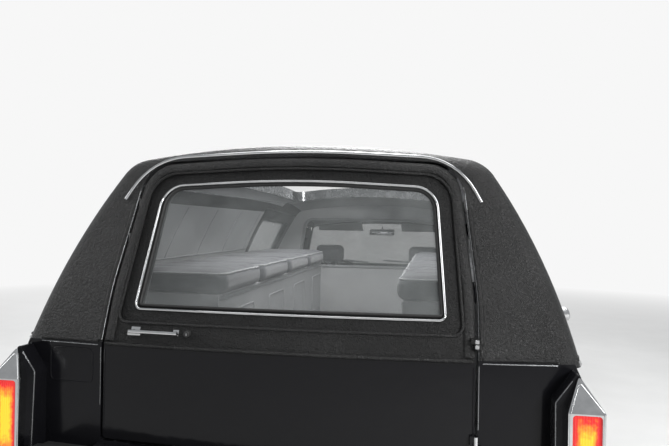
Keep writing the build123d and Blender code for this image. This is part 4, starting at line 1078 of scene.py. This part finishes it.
def tyre(sign):
    """A road tyre with grooved tread, blocks on its shoulders and a pale band on its outer side."""
    crown = [(middle + across, TYRE_R - deep) for middle in GROOVES for across, deep in GROOVE]
    crown = [(-TREAD_HALF, TYRE_R), *crown, (TREAD_HALF, TYRE_R)]
    profile = [(-a, r) for a, r in reversed(SIDEWALL)] + crown + SIDEWALL
    count = len(profile)
    rings = [(pitch + share, cut) for pitch in range(PITCHES) for share, cut in RINGS]
    verts, faces = [], []
    for k, (turn, cut) in enumerate(rings):
        turn = math.tau * turn / PITCHES
        for across, radius in profile:
            blocked = abs(across) > SHOULDER and radius > BLOCK_R
            in_middle = abs(across) < RIB_HALF and radius > TYRE_R - 0.001
            ring = radius - (CUT_DEEP if cut and (blocked or in_middle) else 0)
            verts.append((across * sign, ring * math.sin(turn), ring * math.cos(turn)))
        faces += strips(k * count, (k + 1) % len(rings) * count, count)
    kinds = []
    for (a0, r0), (a1, r1) in zip(profile, profile[1:] + profile[:1]):
        kinds.append(1 if min(a0, a1) > BAND_OUT and BAND[0] < (r0 + r1) / 2 < BAND[1] else 0)
    return Shape(verts, faces, kinds * len(rings))


def wheels():
    """Tyres, trim rings, centre bosses and valves at the four hubs."""
    for end, hub_x, axle in (("front", FRONT_HUB, FRONT_AXLE), ("rear", REAR_HUB, REAR_AXLE)):
        for side, sign in SIDES:
            place = Vector((sign * hub_x, axle, TYRE_R))
            corner, body = f"{end}_{side}", f"roll_{end}_{side}"
            rubber = tyre(sign).moved(place).done(f"road_tyre_{corner}", "tyre", body, 30, ("whitewall",))
            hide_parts(f"tyre_{corner}")
            trim = Shape().lathe(TRIM_RING, place, (sign, 0, 0), 72, True)
            trim.lathe(TRIM_BOSS, place, (sign, 0, 0), 40)
            trim.lathe(TRIM_BEAD, place, (sign, 0, 0), 56, True)
            trim.done(f"wheel_trim_{corner}", "chrome", body)
            foot = place + Vector((sign * 0.098, 0.0, -0.176))
            stem = Shape().rod(foot, foot + Vector((sign * 0.030, 0.004, -0.002)), 0.0045, 0.0035, 10)
            stem.done(f"valve_{corner}", "seal", body)


wheels()

# Inside

DOOR_HEIGHTS = (0.360, 1.004, 0.040)
# Lining of the sides: piece, body, nodes under it, grids (start, end, step) along and up, step that ends it
LININGS = [
    (
        "quarter_wall_trim", "coach", ("upper_quarters", "roof_panel"),
        (-2.850, -0.785, 0.045), (1.150, 1.490, 0.030), 0.06,
    ),
    ("rear_door_trim", "door_rear", ("rear_door_right",), (-0.730, 0.030, 0.040), DOOR_HEIGHTS, 0.03),
    ("front_door_trim", "door_front", ("front_door_right",), (0.165, 1.170, 0.040), DOOR_HEIGHTS, 0.03),
]
# Headliner sheets, as grids across and along, and the step that ends them
HEADLINER = [
    ((-0.600, 0.600, 0.050), (0.170, 0.660, 0.045), 0.04),
    ((-0.600, 0.600, 0.050), (-0.405, 0.060, 0.045), 0.04),
    ((-0.500, 0.500, 0.050), (-2.625, -2.540, 0.0425), 0.06),
    ((-0.640, -0.560, 0.020), (-2.500, -0.430, 0.045), 0.04),
    ((0.560, 0.640, 0.020), (-2.500, -0.430, 0.045), 0.04),
]
# Sheets of the tailgate and the bonnet, as their two grids, thickness and the step that ends them
TAILGATE_SHEET = ((-0.560, 0.560, 0.040), (0.730, 1.104, 0.034), 0.003, 0.03)
BONNET_SHEET = ((-0.600, 0.600, 0.060), (1.470, 2.920, 0.060), 0.008, 0.03)


def linings():
    """Sheets of trim inside the walls, doors, tailgate, roof and bonnet."""
    for name, body, on, along, up, fold in LININGS:
        Shape().cover(surface(*on), "inside_right", along, up, fold=fold).pair(name, "grey_trim", body)
    panel = Shape().cover(surface("tailgate"), "inside_rear", *TAILGATE_SHEET)
    panel.done("tailgate_inner_trim", "grey_trim", "tail_door")
    roof, liner = surface("roof_panel"), Shape()
    for across, along, fold in HEADLINER:
        liner.cover(roof, "inside_up", across, along, fold=fold)
    liner.done("headliner", "grey_trim")
    Shape().cover(surface("hood"), "bonnet_inside", *BONNET_SHEET).done("bonnet_pad", "carpet", "hood_lid")


WALL_SEAMS = (-2.500, -2.090, -1.680, -1.270, -0.860)
WALL_LOW, WALL_HIGH, WALL_BEAD = 1.225, 1.480, level(-2.840, -0.795, 1.232)
# Bench edging, as height and section, and the middles, half length and heights of the panels below it
BENCH_EDGES = ((1.108, flat_bar(0.018, 0.004, 0.001)), (0.728, flat_bar(0.030, 0.003, 0.001)))
BENCH_PANELS, PANEL_HALF, PANEL_LOW, PANEL_HIGH = (-2.220, -1.650, -1.080, -0.510), 0.15, 0.80, 1.04
STRIP_XS = (0.075, 0.215)
# How far seams and beads stand off what the lining covers
LINED = 0.0025


def load_space():
    """Wall seams, inner window frames of tailgate and partition, bench edging and panels, and floor strips."""
    walls, bench = surface("upper_quarters", "roof_panel"), surface("bench_bases")
    courses = [straight((y, WALL_LOW), (y, WALL_HIGH)) for y in WALL_SEAMS]
    seams = laid(walls, "inside_right", half_round(0.007, 0.003, 4), *courses, lift=LINED)
    seams.run(walls, "inside_right", WALL_BEAD, half_round(0.010, 0.004, 4), lift=LINED)
    seams.pair("quarter_wall_seams", "bench_trim")
    shape = laid("tailgate", "inside_rear", flat_bar(0.022, 0.006), offset(window_outline, 0.012), closed=True)
    shape.done("tailgate_inner_frame", "bench_trim", "tail_door")
    course = offset(rounded(PARTITION_WINDOW), 0.010)
    for view, name in (("load_front", "rear"), ("cab_rear", "front")):
        shape = laid("cab_partition", view, half_round(0.022, 0.007), course, closed=True)
        shape.done(f"partition_frame_{name}", "bench_trim")
    edges = Shape()
    for z, section in BENCH_EDGES:
        edges.run(bench, "inside_right", level(-2.550, -0.340, z), section)
    edges.pair("bench_edging", "chrome")
    panels = [rectangle(y - PANEL_HALF, y + PANEL_HALF, PANEL_LOW, PANEL_HIGH, 0.02) for y in BENCH_PANELS]
    beads = laid(bench, "inside_right", half_round(0.008, 0.003, 4), *map(rounded, panels), closed=True)
    beads.pair("bench_panel_beads", "bench_trim")
    courses = [straight((x, -2.860), (x, 0.020), 0.24) for x in STRIP_XS]
    laid("floor_pan", "deck", flat_bar(0.022, 0.005, 0.0015), *courses).both().done("floor_strips", "chrome")


# Armrest and the pull above it, as boxes of (low corner, high corner, bevel) from the lining's face
ARMREST_AT = (0.550, 0.740)
ARMREST = [
    ((-0.052, 0.330, 0.712), (0.004, 0.760, 0.762), 0.014),
    ((-0.030, 0.600, 0.790), (0.004, 0.625, 0.830), 0.006),
    ((-0.034, 0.600, 0.806), (-0.020, 0.740, 0.826), 0.006),
]
# Winder: its place, boss and bars of (start, end, radius, end radius); and the lever's place and box
WINDER_AT, WINDER_BOSS = (0.880, 0.640), [(-0.002, 0.022), (0.010, 0.020), (0.014, 0.010)]
WINDER_BARS = [
    ((-0.010, 0, 0), (-0.020, -0.100, 0.010), 0.007, 0.006),
    ((-0.016, -0.096, 0.010), (-0.052, -0.096, 0.010), 0.009, 0.011),
]
LEVER_AT, LEVER = (1.000, 0.860), [((-0.020, -0.040, -0.008), (0.002, 0.040, 0.008), 0.005)]


def door_fittings():
    """Beads on the front door's lining, with its armrest, pull, winder and lever."""
    inner = surface("front_door_right")
    courses = [level(0.170, 1.160, z) for z in (0.560, 0.900)]
    beads = laid(inner, "inside_right", half_round(0.009, 0.004), *courses, lift=LINED)
    beads.pair("front_door_beads", "chrome", "door_front")
    face, _ = spot(inner, "inside_right", *ARMREST_AT)
    boxes(ARMREST, (face.x, 0, 0)).pair("armrest", "dash", "door_front")
    lever, _ = spot(inner, "inside_right", *LEVER_AT)
    wall, _ = spot(inner, "inside_right", *WINDER_AT)
    crank = boxes(LEVER, lever).knob(WINDER_BOSS, wall, (-1, 0, 0))
    for start, end, radius, last in WINDER_BARS:
        crank.rod(wall + Vector(start), wall + Vector(end), radius, last)
    crank.pair("door_winder", "chrome", "door_front")


# Gauges: place across and radius of each, their height, the pointer's turn and how far round the marks reach
GAUGES, GAUGE_Z = ((-0.475, 0.032), (-0.385, 0.034), (-0.295, 0.032)), 0.887
POINTER_TURN, MARKS_REACH = -1.4, 2.2


def gauges(board):
    """Three round instruments with marks and pointers."""
    rings, faces, hands = Shape(), Shape(), Shape()
    for x, radius in GAUGES:
        place, normal = spot(board, "cab_front", x, GAUGE_Z)
        normal = Vector((0, normal.y, normal.z)).normalized()
        inner = radius - 0.006
        bezel = [(-0.002, radius), (0.006, radius), (0.008, radius - 0.003), (0.004, inner), (-0.002, inner)]
        rings.lathe(bezel, place, normal, 40, True)
        faces.knob([(-0.001, radius - 0.004), (0.0025, radius - 0.005)], place, normal, 40)
        up = normal.cross(Vector((1, 0, 0)))
        tip = place + normal * 0.003
        for turn in grid(-MARKS_REACH, MARKS_REACH, 0.44):
            way = Vector((math.sin(turn), 0, 0)) - up * math.cos(turn)
            hands.rod(tip + way * (radius - 0.012), tip + way * (radius - 0.008), 0.0008, steps=6)
        way = Vector((math.sin(POINTER_TURN), 0, 0)) - up * math.cos(POINTER_TURN)
        tip = place + normal * 0.0035
        hands.rod(tip, tip + way * (radius - 0.014), 0.0009, 0.0005, 6)
    rings.done("gauge_rings", "chrome")
    faces.done("gauge_faces", "seal")
    hands.done("gauge_hands", "whitewall")


VENTS, VENT_HALF, BLADES, BLADE_HALF = (-0.720, 0.120, 0.720), 0.070, (0.810, 0.820, 0.830, 0.840), 0.064
RADIO, GLOVEBOX = rectangle(-0.110, 0.110, 0.700, 0.770, 0.006), rectangle(0.290, 0.680, 0.660, 0.780, 0.015)
# Radio knobs: places across, height, section
KNOBS, KNOB_Z, KNOB = (-0.085, 0.085), 0.735, [(-0.002, 0.014), (0.014, 0.012), (0.016, 0.008)]


def dash_trim(board):
    """Vents, radio panel, glovebox line, a bright line along the dashboard and two knobs."""
    shape, blades = Shape(), Shape()
    for x in VENTS:
        ring = rounded(rectangle(x - VENT_HALF, x + VENT_HALF, 0.800, 0.850, 0.008), step=0.02)
        shape.run(board, "cab_front", ring, half_round(0.008, 0.005), True)
        for z in BLADES:
            course = level(x - BLADE_HALF, x + BLADE_HALF, z, 0.03)
            blades.run(board, "cab_front", course, flat_bar(0.004, 0.004, 0.001))
    for outline, section in ((RADIO, half_round(0.006, 0.004)), (GLOVEBOX, half_round(0.005, 0.003))):
        shape.run(board, "cab_front", rounded(outline), section, True)
    shape.run(board, "cab_front", level(-0.600, 0.800, 0.872), half_round(0.010, 0.003))
    for x in KNOBS:
        shape.knob(KNOB, *spot(board, "cab_front", x, KNOB_Z))
    shape.done("dash_brightwork", "chrome")
    blades.done("vent_blades", "seal")


# Middle of the steering wheel, and the way its column goes
COLUMN, COLUMN_WAY = Vector((-0.385, 0.820, 0.905)), Vector((0, 0.86, -0.51)).normalized()
# Sections of the column's shroud and the wheel's boss, as (along, radius), and where the shroud starts
SHROUD, SHROUD_AT = [(0.0, 0), (0.0, 0.044), (0.020, 0.050), (0.170, 0.046), (0.175, 0)], 0.060
WHEEL_BOSS = [(-0.020, 0.0), (-0.024, 0.030), (-0.020, 0.060), (-0.010, 0.066), (0.0, 0.060), (0.0, 0)]
# Column stalks: place along the column, bend, end and radius, then the grip's start, end and radius
STALKS = [
    (
        0.085, (-0.070, -0.010, 0.012), (-0.170, -0.030, 0.030), 0.005,
        (-0.150, -0.026, 0.026), (-0.190, -0.034, 0.034), 0.009,
    ),
    (
        0.110, (0.080, -0.006, 0.040), (0.175, -0.030, 0.070), 0.006,
        (0.170, -0.029, 0.068), (0.205, -0.038, 0.078), 0.012,
    ),
]
# Pedals: place across, half width, height; and the visors' left edges
PEDALS, VISORS = ((-0.400, 0.055, 0.470), (-0.270, 0.026, 0.440)), (-0.600, 0.180)
PEDAL_TILT, VISOR_TILT = Matrix.Rotation(math.radians(-35), 3, "X"), Matrix.Rotation(math.radians(-33), 3, "X")
MIRROR = [((-0.115, 0.800, 1.318), (0.115, 0.822, 1.372), 0.008)]
MIRROR_PANE = [((-0.109, 0.7985, 1.323), (0.109, 0.8012, 1.367), 0.001)]


def cab_fittings():
    """Column stalks and shroud, wheel boss, pedals, visors and mirror."""
    stalks = Shape()
    for along, bend, end, radius, grip_start, grip_end, grip in STALKS:
        start = COLUMN + COLUMN_WAY * along
        stalks.tube([start, start + Vector(bend), start + Vector(end)], radius)
        stalks.rod(start + Vector(grip_start), start + Vector(grip_end), grip)
    stalks.done("column_stalks", "chrome")
    Shape().lathe(SHROUD, COLUMN + COLUMN_WAY * SHROUD_AT, COLUMN_WAY, 32).done("column_shroud", "dash")
    Shape().lathe(WHEEL_BOSS, COLUMN, COLUMN_WAY).done("wheel_boss", "dash")
    pedals, visors = Shape(), Shape()
    for x, half, z in PEDALS:
        pedals.box((x - half, 1.150, z - 0.045), (x + half, 1.162, z + 0.045), 0.004, PEDAL_TILT)
        pedals.tube([(x, 1.160, z), (x, 1.215, z + 0.020), (x, 1.238, z + 0.120)], 0.008)
    pedals.done("pedals", "seal")
    for x in VISORS:
        visors.box((x, 0.730, 1.392), (x + 0.420, 0.880, 1.406), 0.006, VISOR_TILT)
    visors.done("sun_visors", "grey_trim")
    boxes(MIRROR).rod((0, 0.815, 1.350), (0, 0.872, 1.398), 0.006).done("cab_mirror", "dash")
    boxes(MIRROR_PANE).done("cab_mirror_glass", "mirror")


# Sections of the air cleaner and its nut, as (up, radius), and where they stand
CLEANER = [
    (0, 0), (0, 0.060), (0.004, 0.165), (0.010, 0.175),
    (0.054, 0.175), (0.060, 0.168), (0.066, 0.060), (0.072, 0),
]
CLEANER_NUT = [(0, 0.014), (0.006, 0.014), (0.010, 0.008), (0.010, 0)]
CLEANER_AT, NUT_AT = (0.0, 1.960, 0.832), (0, 1.960, 0.902)
# The air cleaner's intake and the radiator's hoses, as course and radius
INTAKE = ([(0.0, 2.110, 0.862), (0.060, 2.220, 0.862), (0.120, 2.330, 0.850)], 0.030)
HOSES = [
    ([(0.180, 2.886, 0.800), (0.170, 2.720, 0.812), (0.060, 2.480, 0.800), (0.0, 2.290, 0.790)], 0.021),
    ([(-0.240, 2.886, 0.540), (-0.230, 2.700, 0.530), (-0.150, 2.480, 0.560), (-0.100, 2.292, 0.600)], 0.023),
]
# Boxes under the bonnet
VALVE_COVER = [((0.098, 1.620, 0.826), (0.222, 2.200, 0.858), 0.016)]
RADIATOR = [
    ((-0.330, 2.890, 0.505), (0.330, 2.935, 0.835), 0.006),
    ((-0.345, 2.884, 0.830), (0.345, 2.941, 0.862), 0.010),
    ((-0.345, 2.884, 0.490), (0.345, 2.941, 0.515), 0.008),
]
BATTERY = [
    ((0.395, 2.610, 0.606), (0.560, 2.850, 0.790), 0.006),
    ((0.290, 2.600, 0.556), (0.575, 2.860, 0.604), 0.004),
]
BATTERY_POSTS = (2.650, 2.810)
# Fan: shaft, middle, number of blades, distance of their middle, half their size, and how far each is twisted
FAN_SHAFT, FAN_HUB, FAN_BLADES = ((0, 2.298, 0.640), (0, 2.420, 0.640), 0.030), Vector((0, 2.405, 0.640)), 5
FAN_OUT, FAN_HALF = Vector((0, 0, 0.120)), Vector((0.040, 0.002, 0.100))
FAN_TWIST = Matrix.Rotation(math.radians(28), 3, "Z")


def under_bonnet():
    """Air cleaner, valve covers, radiator with its hoses, fan and battery."""
    Shape().lathe(CLEANER, CLEANER_AT, (0, 0, 1), 56).tube(*INTAKE, 14).done("air_cleaner", "steel_black")
    Shape().lathe(CLEANER_NUT, NUT_AT, (0, 0, 1), 12).done("air_cleaner_nut", "chrome")
    boxes(VALVE_COVER).both().done("valve_covers", "iron")
    boxes(RADIATOR).done("radiator", "steel_black")
    hoses = Shape()
    for points, radius in HOSES:
        hoses.tube(points, radius, 14)
    hoses.done("radiator_hoses", "seal")
    fan = Shape().rod(*FAN_SHAFT)
    for k in range(FAN_BLADES):
        spin = Matrix.Rotation(math.tau * k / FAN_BLADES, 3, "Y")
        middle = spin @ FAN_OUT + FAN_HUB
        fan.box(middle - FAN_HALF, middle + FAN_HALF, 0.001, spin @ FAN_TWIST)
    fan.done("cooling_fan", "iron")
    battery = boxes(BATTERY)
    for y in BATTERY_POSTS:
        battery.rod((0.450, y, 0.788), (0.450, y, 0.806), 0.010)
    battery.done("battery", "seal")


dashboard = surface("dashboard")
linings()
load_space()
door_fittings()
gauges(dashboard)
dash_trim(dashboard)
cab_fittings()
under_bonnet()

# Cushions and seats

SWELL_FRAMES, PRESSURE = 20, 4.0
# Sewn channels: half width, and the share of a pad's height from which they are drawn in
CHANNEL, CHANNEL_FROM = 0.012, 0.35
# Piped seams: corner radius of their course, its distance outside the pad in half sizes, and their lift in radii
SEAM_CORNER, SEAM_FROM, SEAM_OUT = 0.05, 1.3, 0.4
BENCH_INNER, BENCH_PADS = 0.316, 4


def evaluated(form):
    """The mesh of a form with its modifiers."""
    return bpy.data.meshes.new_from_object(form.evaluated_get(bpy.context.evaluated_depsgraph_get()))


def swollen(shape, voxel, cap):
    """Remesh a closed form, blow it up like a stuffed cover and limit how far each point moves."""
    scene = bpy.context.scene
    mesh = bpy.data.meshes.new("pad_form")
    mesh.from_pydata([tuple(v) for v in shape.verts], [], shape.faces)
    form = bpy.data.objects.new("pad_form", mesh)
    scene.collection.objects.link(form)
    remesh = form.modifiers.new("remesh", "REMESH")
    remesh.mode, remesh.voxel_size = "VOXEL", voxel
    base = evaluated(form)
    form.modifiers.clear()
    form.data = base
    ends = [v.co.copy() for v in base.vertices]
    swell = form.modifiers.new("swell", "CLOTH")
    swell.settings.quality = 4
    swell.settings.use_pressure = True
    swell.settings.uniform_pressure_force = PRESSURE
    swell.settings.effector_weights.gravity = 0
    scene.frame_start, scene.frame_end = 1, SWELL_FRAMES
    swell.point_cache.frame_start, swell.point_cache.frame_end = 1, SWELL_FRAMES
    for step in range(1, SWELL_FRAMES + 1):
        scene.frame_set(step)
    for i, vert in enumerate(evaluated(form).vertices):
        move = vert.co - ends[i]
        ends[i] = ends[i] + move * min(1.0, cap / max(move.length, 1e-9))
    form.modifiers.clear()
    scene.frame_set(1)
    faces = [list(face.vertices) for face in base.polygons]
    bpy.data.objects.remove(form)
    return Shape(ends, faces)


def pad_form(x, y, z, corner, edge):
    """A block from its limits with rounded upright corners and softer upper and lower edges."""
    (x0, x1), (y0, y1), (z0, z1) = x, y, z
    middle = Vector(((x0 + x1) / 2, (y0 + y1) / 2))
    wide, deep = (x1 - x0) / 2, (y1 - y0) / 2
    ease = edge * 0.3
    soft_edge = [(0, edge), (ease, ease), (edge, 0)]
    lower = [(z0 + up, inset) for up, inset in soft_edge]
    levels = lower + [(z1 - up, inset) for up, inset in reversed(soft_edge)]
    base = rounded(rectangle(x0, x1, y0, y1, corner), step=0.02)
    count = len(base)
    verts, faces = [], []
    for up, inset in levels:
        room = Vector((wide - inset, deep - inset))
        scale = Vector((room.x / wide, room.y / deep))
        verts += [(*(middle + (point - middle) * scale), up) for point in base]
    for k in range(len(levels) - 1):
        faces += strips(k * count, (k + 1) * count, count)
    faces += [reversed(range(count)), range((len(levels) - 1) * count, len(levels) * count)]
    return Shape(verts, faces)


def pressed(shape, low, high):
    """Keep a form inside its room, flat where it reaches a limit."""
    return shape.moved(lambda v: Vector([min(max(c, least), most) for c, least, most in zip(v, low, high)]))


def sewn(shape, axis, places, deep, facing=2):
    """Draw sewn channels at places along an axis into the padded face; facing is the axis the pad faces."""
    top = max(v[facing] for v in shape.verts)
    low = min(v[facing] for v in shape.verts)
    for v in shape.verts:
        share = max(0.0, (v[facing] - low) / (top - low) - CHANNEL_FROM) / (1 - CHANNEL_FROM)
        v[facing] -= sum(deep * share * math.exp(-(((v[axis] - at) / CHANNEL) ** 2)) for at in places)
    return shape


def welt(shape, height_share, radius, facing=2):
    """A piped seam round a pad at a share of its height."""
    tree = BVHTree.FromPolygons(shape.verts, shape.faces)
    lows = Vector([min(v[k] for v in shape.verts) for k in range(3)])
    highs = Vector([max(v[k] for v in shape.verts) for k in range(3)])
    middle, halves = (lows + highs) / 2, (highs - lows) / 2
    middle[facing] = lows[facing] + (highs[facing] - lows[facing]) * height_share
    first, second = [k for k in range(3) if k != facing]
    outline = rectangle(-halves[first], halves[first], -halves[second], halves[second], SEAM_CORNER)
    path = []
    for point in rounded(outline, step=0.025):
        way = Vector()
        way[first], way[second] = point
        hit, normal, _, _ = tree.ray_cast(middle + way * SEAM_FROM, -way.normalized())
        if hit:
            path.append((hit + normal * radius * SEAM_OUT, normal))
    return Shape().sweep(path, circle(radius, 8), True)


def soft(shape, name, finish, stands_for, piping):
    """Make a pad of a swollen form, with its piping as a piece of its own."""
    pad = shape.done(name, finish)
    smooth = pad.modifiers.new("smooth", "SUBSURF")
    smooth.levels = smooth.render_levels = 1
    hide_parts(stands_for)
    piping.done(f"{name}_piping", "bench_trim" if finish == "cushion" else "dash")


def bench_pads():
    """Four pads along each bench, each with cross seams and piping."""
    low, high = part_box("bench_cushions")
    walls = surface("upper_quarters", "rear_door_right")
    heights = (BENCH_TOP + 0.01, BENCH_TOP + CUSHION)
    edges = [lay(walls, "inside_right", [(y, z) for y in grid(-2.50, -0.40, 0.1)]) for z in heights]
    wall_low, wall_high = [min(p.x for p, _ in edge) for edge in edges]
    inner, outer = BENCH_INNER, wall_low - 0.010
    length = (high[1] - low[1]) / BENCH_PADS
    half = length / 2 - 0.003
    rise = (BENCH_TOP + 0.003, BENCH_TOP + CUSHION - 0.012)
    across, along = (inner + 0.008, outer - 0.010), (-half + 0.007, half - 0.007)
    form = pad_form(across, along, rise, corner=0.045, edge=0.022)
    pad = swollen(form, voxel=0.012, cap=0.014)
    pad = pressed(pad, (inner, -half, BENCH_TOP + 0.0005), (outer, half, BENCH_TOP + CUSHION + 0.004))
    lean = (wall_low - wall_high) / CUSHION
    pad = pad.moved(lambda v: Vector((min(v.x, outer - lean * (v.z - BENCH_TOP)), v.y, v.z)))
    pad = sewn(pad, 1, (-half / 3, half / 3), 0.007)
    edge = welt(pad, 0.80, 0.0042)
    for k in range(BENCH_PADS):
        shift = Vector((0, low[1] + length * (k + 0.5), 0))
        body, piping = pad.moved(shift), edge.moved(shift)
        for side, sign in SIDES:
            soft(body.on(sign), f"bench_pad_{k + 1}_{side}", "cushion", "bench_cushions", piping.on(sign))


# Right-hand pads of the front seat: piece, form (limits across, along and up, corner, edge), voxel, cap, room,
# channels (axis, places, depth, facing), seam (share of the height, radius, facing), place, lean in degrees
SEAT_PADS = [
    (
        "seat_cushion", ((0.010, 0.680), (0.345, 0.838), (0.452, 0.575), 0.05, 0.040), 0.013, 0.022,
        ((0.003, 0.330, 0.446), (0.692, 0.850, 0.600)),
        (1, (0.48, 0.60, 0.72), 0.008, 2), (0.82, 0.0045, 2), (0, 0, 0), 0,
    ),
    (
        "seat_back", ((0.010, 0.680), (-0.052, 0.052), (0.030, 0.600), 0.045, 0.035), 0.013, 0.018,
        ((0.003, -0.075, 0.02), (0.692, 0.070, 0.62)),
        (2, (0.16, 0.30, 0.44), 0.008, 1), (0.80, 0.0045, 1), (0, 0.402, 0.470), 12.5,
    ),
    (
        "head_restraint", ((0.276, 0.504), (-0.036, 0.036), (0.0, 0.135), 0.034, 0.03), 0.009, 0.012,
        ((0.265, -0.052, -0.01), (0.515, 0.052, 0.15)),
        (2, (), 0, 1), (0.5, 0.003, 1), (0, 0.262, 1.098), 6,
    ),
]
POST_XS, POST_FOOT, POST_TOP = (0.340, 0.440), (0.272, 1.050), (0.264, 1.120)
PLINTH = [
    ((0.212, 0.385, 0.324), (0.655, 0.800, 0.446), 0.012),
    ((0.212, 0.372, 0.430), (0.662, 0.812, 0.449), 0.006),
]


def cab_seat():
    """The front seat: split cushion and back, head restraints on posts, on a plinth."""
    pads = []
    for name, form, voxel, cap, room, channels, seam, place, lean in SEAT_PADS:
        pad = sewn(pressed(swollen(pad_form(*form), voxel, cap), *room), *channels)
        change = Matrix.Translation(place) @ Matrix.Rotation(math.radians(lean), 4, "X")
        pads.append((name, pad.moved(change), welt(pad, *seam).moved(change)))
    for name, pad, piping in pads:
        for side, sign in SIDES:
            soft(pad.on(sign), f"{name}_{side}", "seat_cloth", "front_seat", piping.on(sign))
    posts = Shape()
    for x in POST_XS:
        posts.rod((x, *POST_FOOT), (x, *POST_TOP), 0.006)
    posts.both().done("head_restraint_posts", "chrome")
    boxes(PLINTH).both().done("seat_plinth", "dash")


bench_pads()
cab_seat()

# Stage, light and camera

FLOOR_HALF, FADE_START, FADE_END = 60, 4.5, 11.0


def make_floor():
    """A pale floor that fades into the pale background."""
    h = FLOOR_HALF
    mesh = bpy.data.meshes.new("floor")
    mesh.from_pydata([(-h, -h, 0), (h, -h, 0), (h, h, 0), (-h, h, 0)], [], [(0, 1, 2, 3)])
    floor = bpy.data.objects.new("floor", mesh)
    bpy.context.scene.collection.objects.link(floor)
    look = Finish("floor_pale")
    tint = look.ramp(look.noise(2.0, 5, 0.6), (0.3, (0.66, 0.66, 0.655)), (0.7, (0.70, 0.70, 0.695)))
    look.shade({"Base Color": tint, "Roughness": 0.8})
    far = look.node("ShaderNodeVectorMath", {0: look.space}, "Value", operation="LENGTH")
    fade = look.spread(far, 0.0, 1.0, FADE_START, FADE_END)
    share = look.maths("MULTIPLY", look.seen("Camera", "Transmission", "Glossy"), fade)
    pale = look.node("ShaderNodeEmission", {"Color": PALE, "Strength": 1.0})
    mix = look.node("ShaderNodeMixShader", {0: share, 1: look.shader.outputs[0], 2: pale})
    look.feed(look.tree.nodes["Material Output"].inputs[0], mix)
    mesh.materials.append(MATERIALS["floor_pale"])


def make_surround():
    """A surround that is pale to look at, a little darker in reflections, and dim as light."""
    world = bpy.data.worlds.new("surround")
    bpy.context.scene.world = world
    world.use_nodes = True
    sky = Tree(world.node_tree)
    back = sky.tree.nodes["Background"]
    sky.feed(back.inputs["Color"], (0.86, 0.88, 0.9))
    sky.feed(back.inputs["Strength"], 0.35)
    white = sky.node("ShaderNodeBackground", {"Color": PALE, "Strength": 1.0})
    mirror = sky.node("ShaderNodeBackground", {"Color": (0.88, 0.9, 0.92), "Strength": 0.55})
    shine = sky.node("ShaderNodeMixShader", {0: sky.seen("Glossy"), 1: back.outputs[0], 2: mirror})
    mix = sky.node("ShaderNodeMixShader", {0: sky.seen("Camera", "Transmission"), 1: shine, 2: white})
    sky.feed(sky.tree.nodes["World Output"].inputs[0], mix)


# Lamps: name, place, aim, width, height, power
LAMPS = [
    ("key", (4.6, -5.4, 5.4), (0.2, -2.2, 0.9), 4.6, 3.6, 260),
    ("fill", (-6.6, -3.4, 3.6), (-0.2, -1.5, 0.9), 3.6, 3.0, 150),
    ("flash", (3.1, -5.9, 2.2), (0.6, -2.9, 1.15), 0.8, 0.8, 130),
    ("top", (0, 0.5, 7.0), (0, 0, 0), 6.0, 9.0, 380),
    ("front", (-4.5, 7.5, 4.5), (0, 1.5, 0.6), 4.0, 3.0, 280),
    ("load_space", (0, -1.5, 2.6), (0, -1.5, 1.0), 0.9, 1.8, 50),
]


def make_lamps():
    """Soft rectangular lamps."""
    for name, place, aim, width, tall, power in LAMPS:
        light = bpy.data.lights.new(name, "AREA")
        light.shape = "RECTANGLE"
        light.size, light.size_y = width, tall
        light.energy = power
        lamp = bpy.data.objects.new(name, light)
        lamp.location = place
        lamp.rotation_mode = "QUATERNION"
        lamp.rotation_quaternion = (Vector(aim) - Vector(place)).to_track_quat("-Z", "Y")
        bpy.context.scene.collection.objects.link(lamp)


CAMERA_PLACE = (0.4700, -4.8687, 1.4073)
CAMERA_YAW, CAMERA_PITCH, CAMERA_ROLL = 0.16, 0.003, 0.016
# Focal length as a share of the picture's width, from both in pixels
FOCAL_SHARE = 613.5 / 669
SENSOR = 36.0


def make_camera():
    """The photograph's view of the tail."""
    flat = math.cos(CAMERA_PITCH)
    ahead = Vector((-math.sin(CAMERA_YAW) * flat, math.cos(CAMERA_YAW) * flat, math.sin(CAMERA_PITCH)))
    right = ahead.cross(Vector((0, 0, 1))).normalized()
    up = right.cross(ahead)
    tilted = right * math.cos(CAMERA_ROLL) + up * math.sin(CAMERA_ROLL)
    above = up * math.cos(CAMERA_ROLL) - right * math.sin(CAMERA_ROLL)
    turn = Matrix((tilted, above, -ahead)).transposed().to_4x4()
    data = bpy.data.cameras.new("camera")
    data.sensor_fit = "HORIZONTAL"
    data.sensor_width = SENSOR
    data.lens = SENSOR * FOCAL_SHARE
    data.clip_start, data.clip_end = 0.05, 300
    camera = bpy.data.objects.new("camera", data)
    camera.matrix_world = Matrix.Translation(CAMERA_PLACE) @ turn
    bpy.context.scene.collection.objects.link(camera)
    bpy.context.scene.camera = camera


make_floor()
make_surround()
make_lamps()
make_camera()
bpy.context.scene.view_settings.view_transform = "Standard"
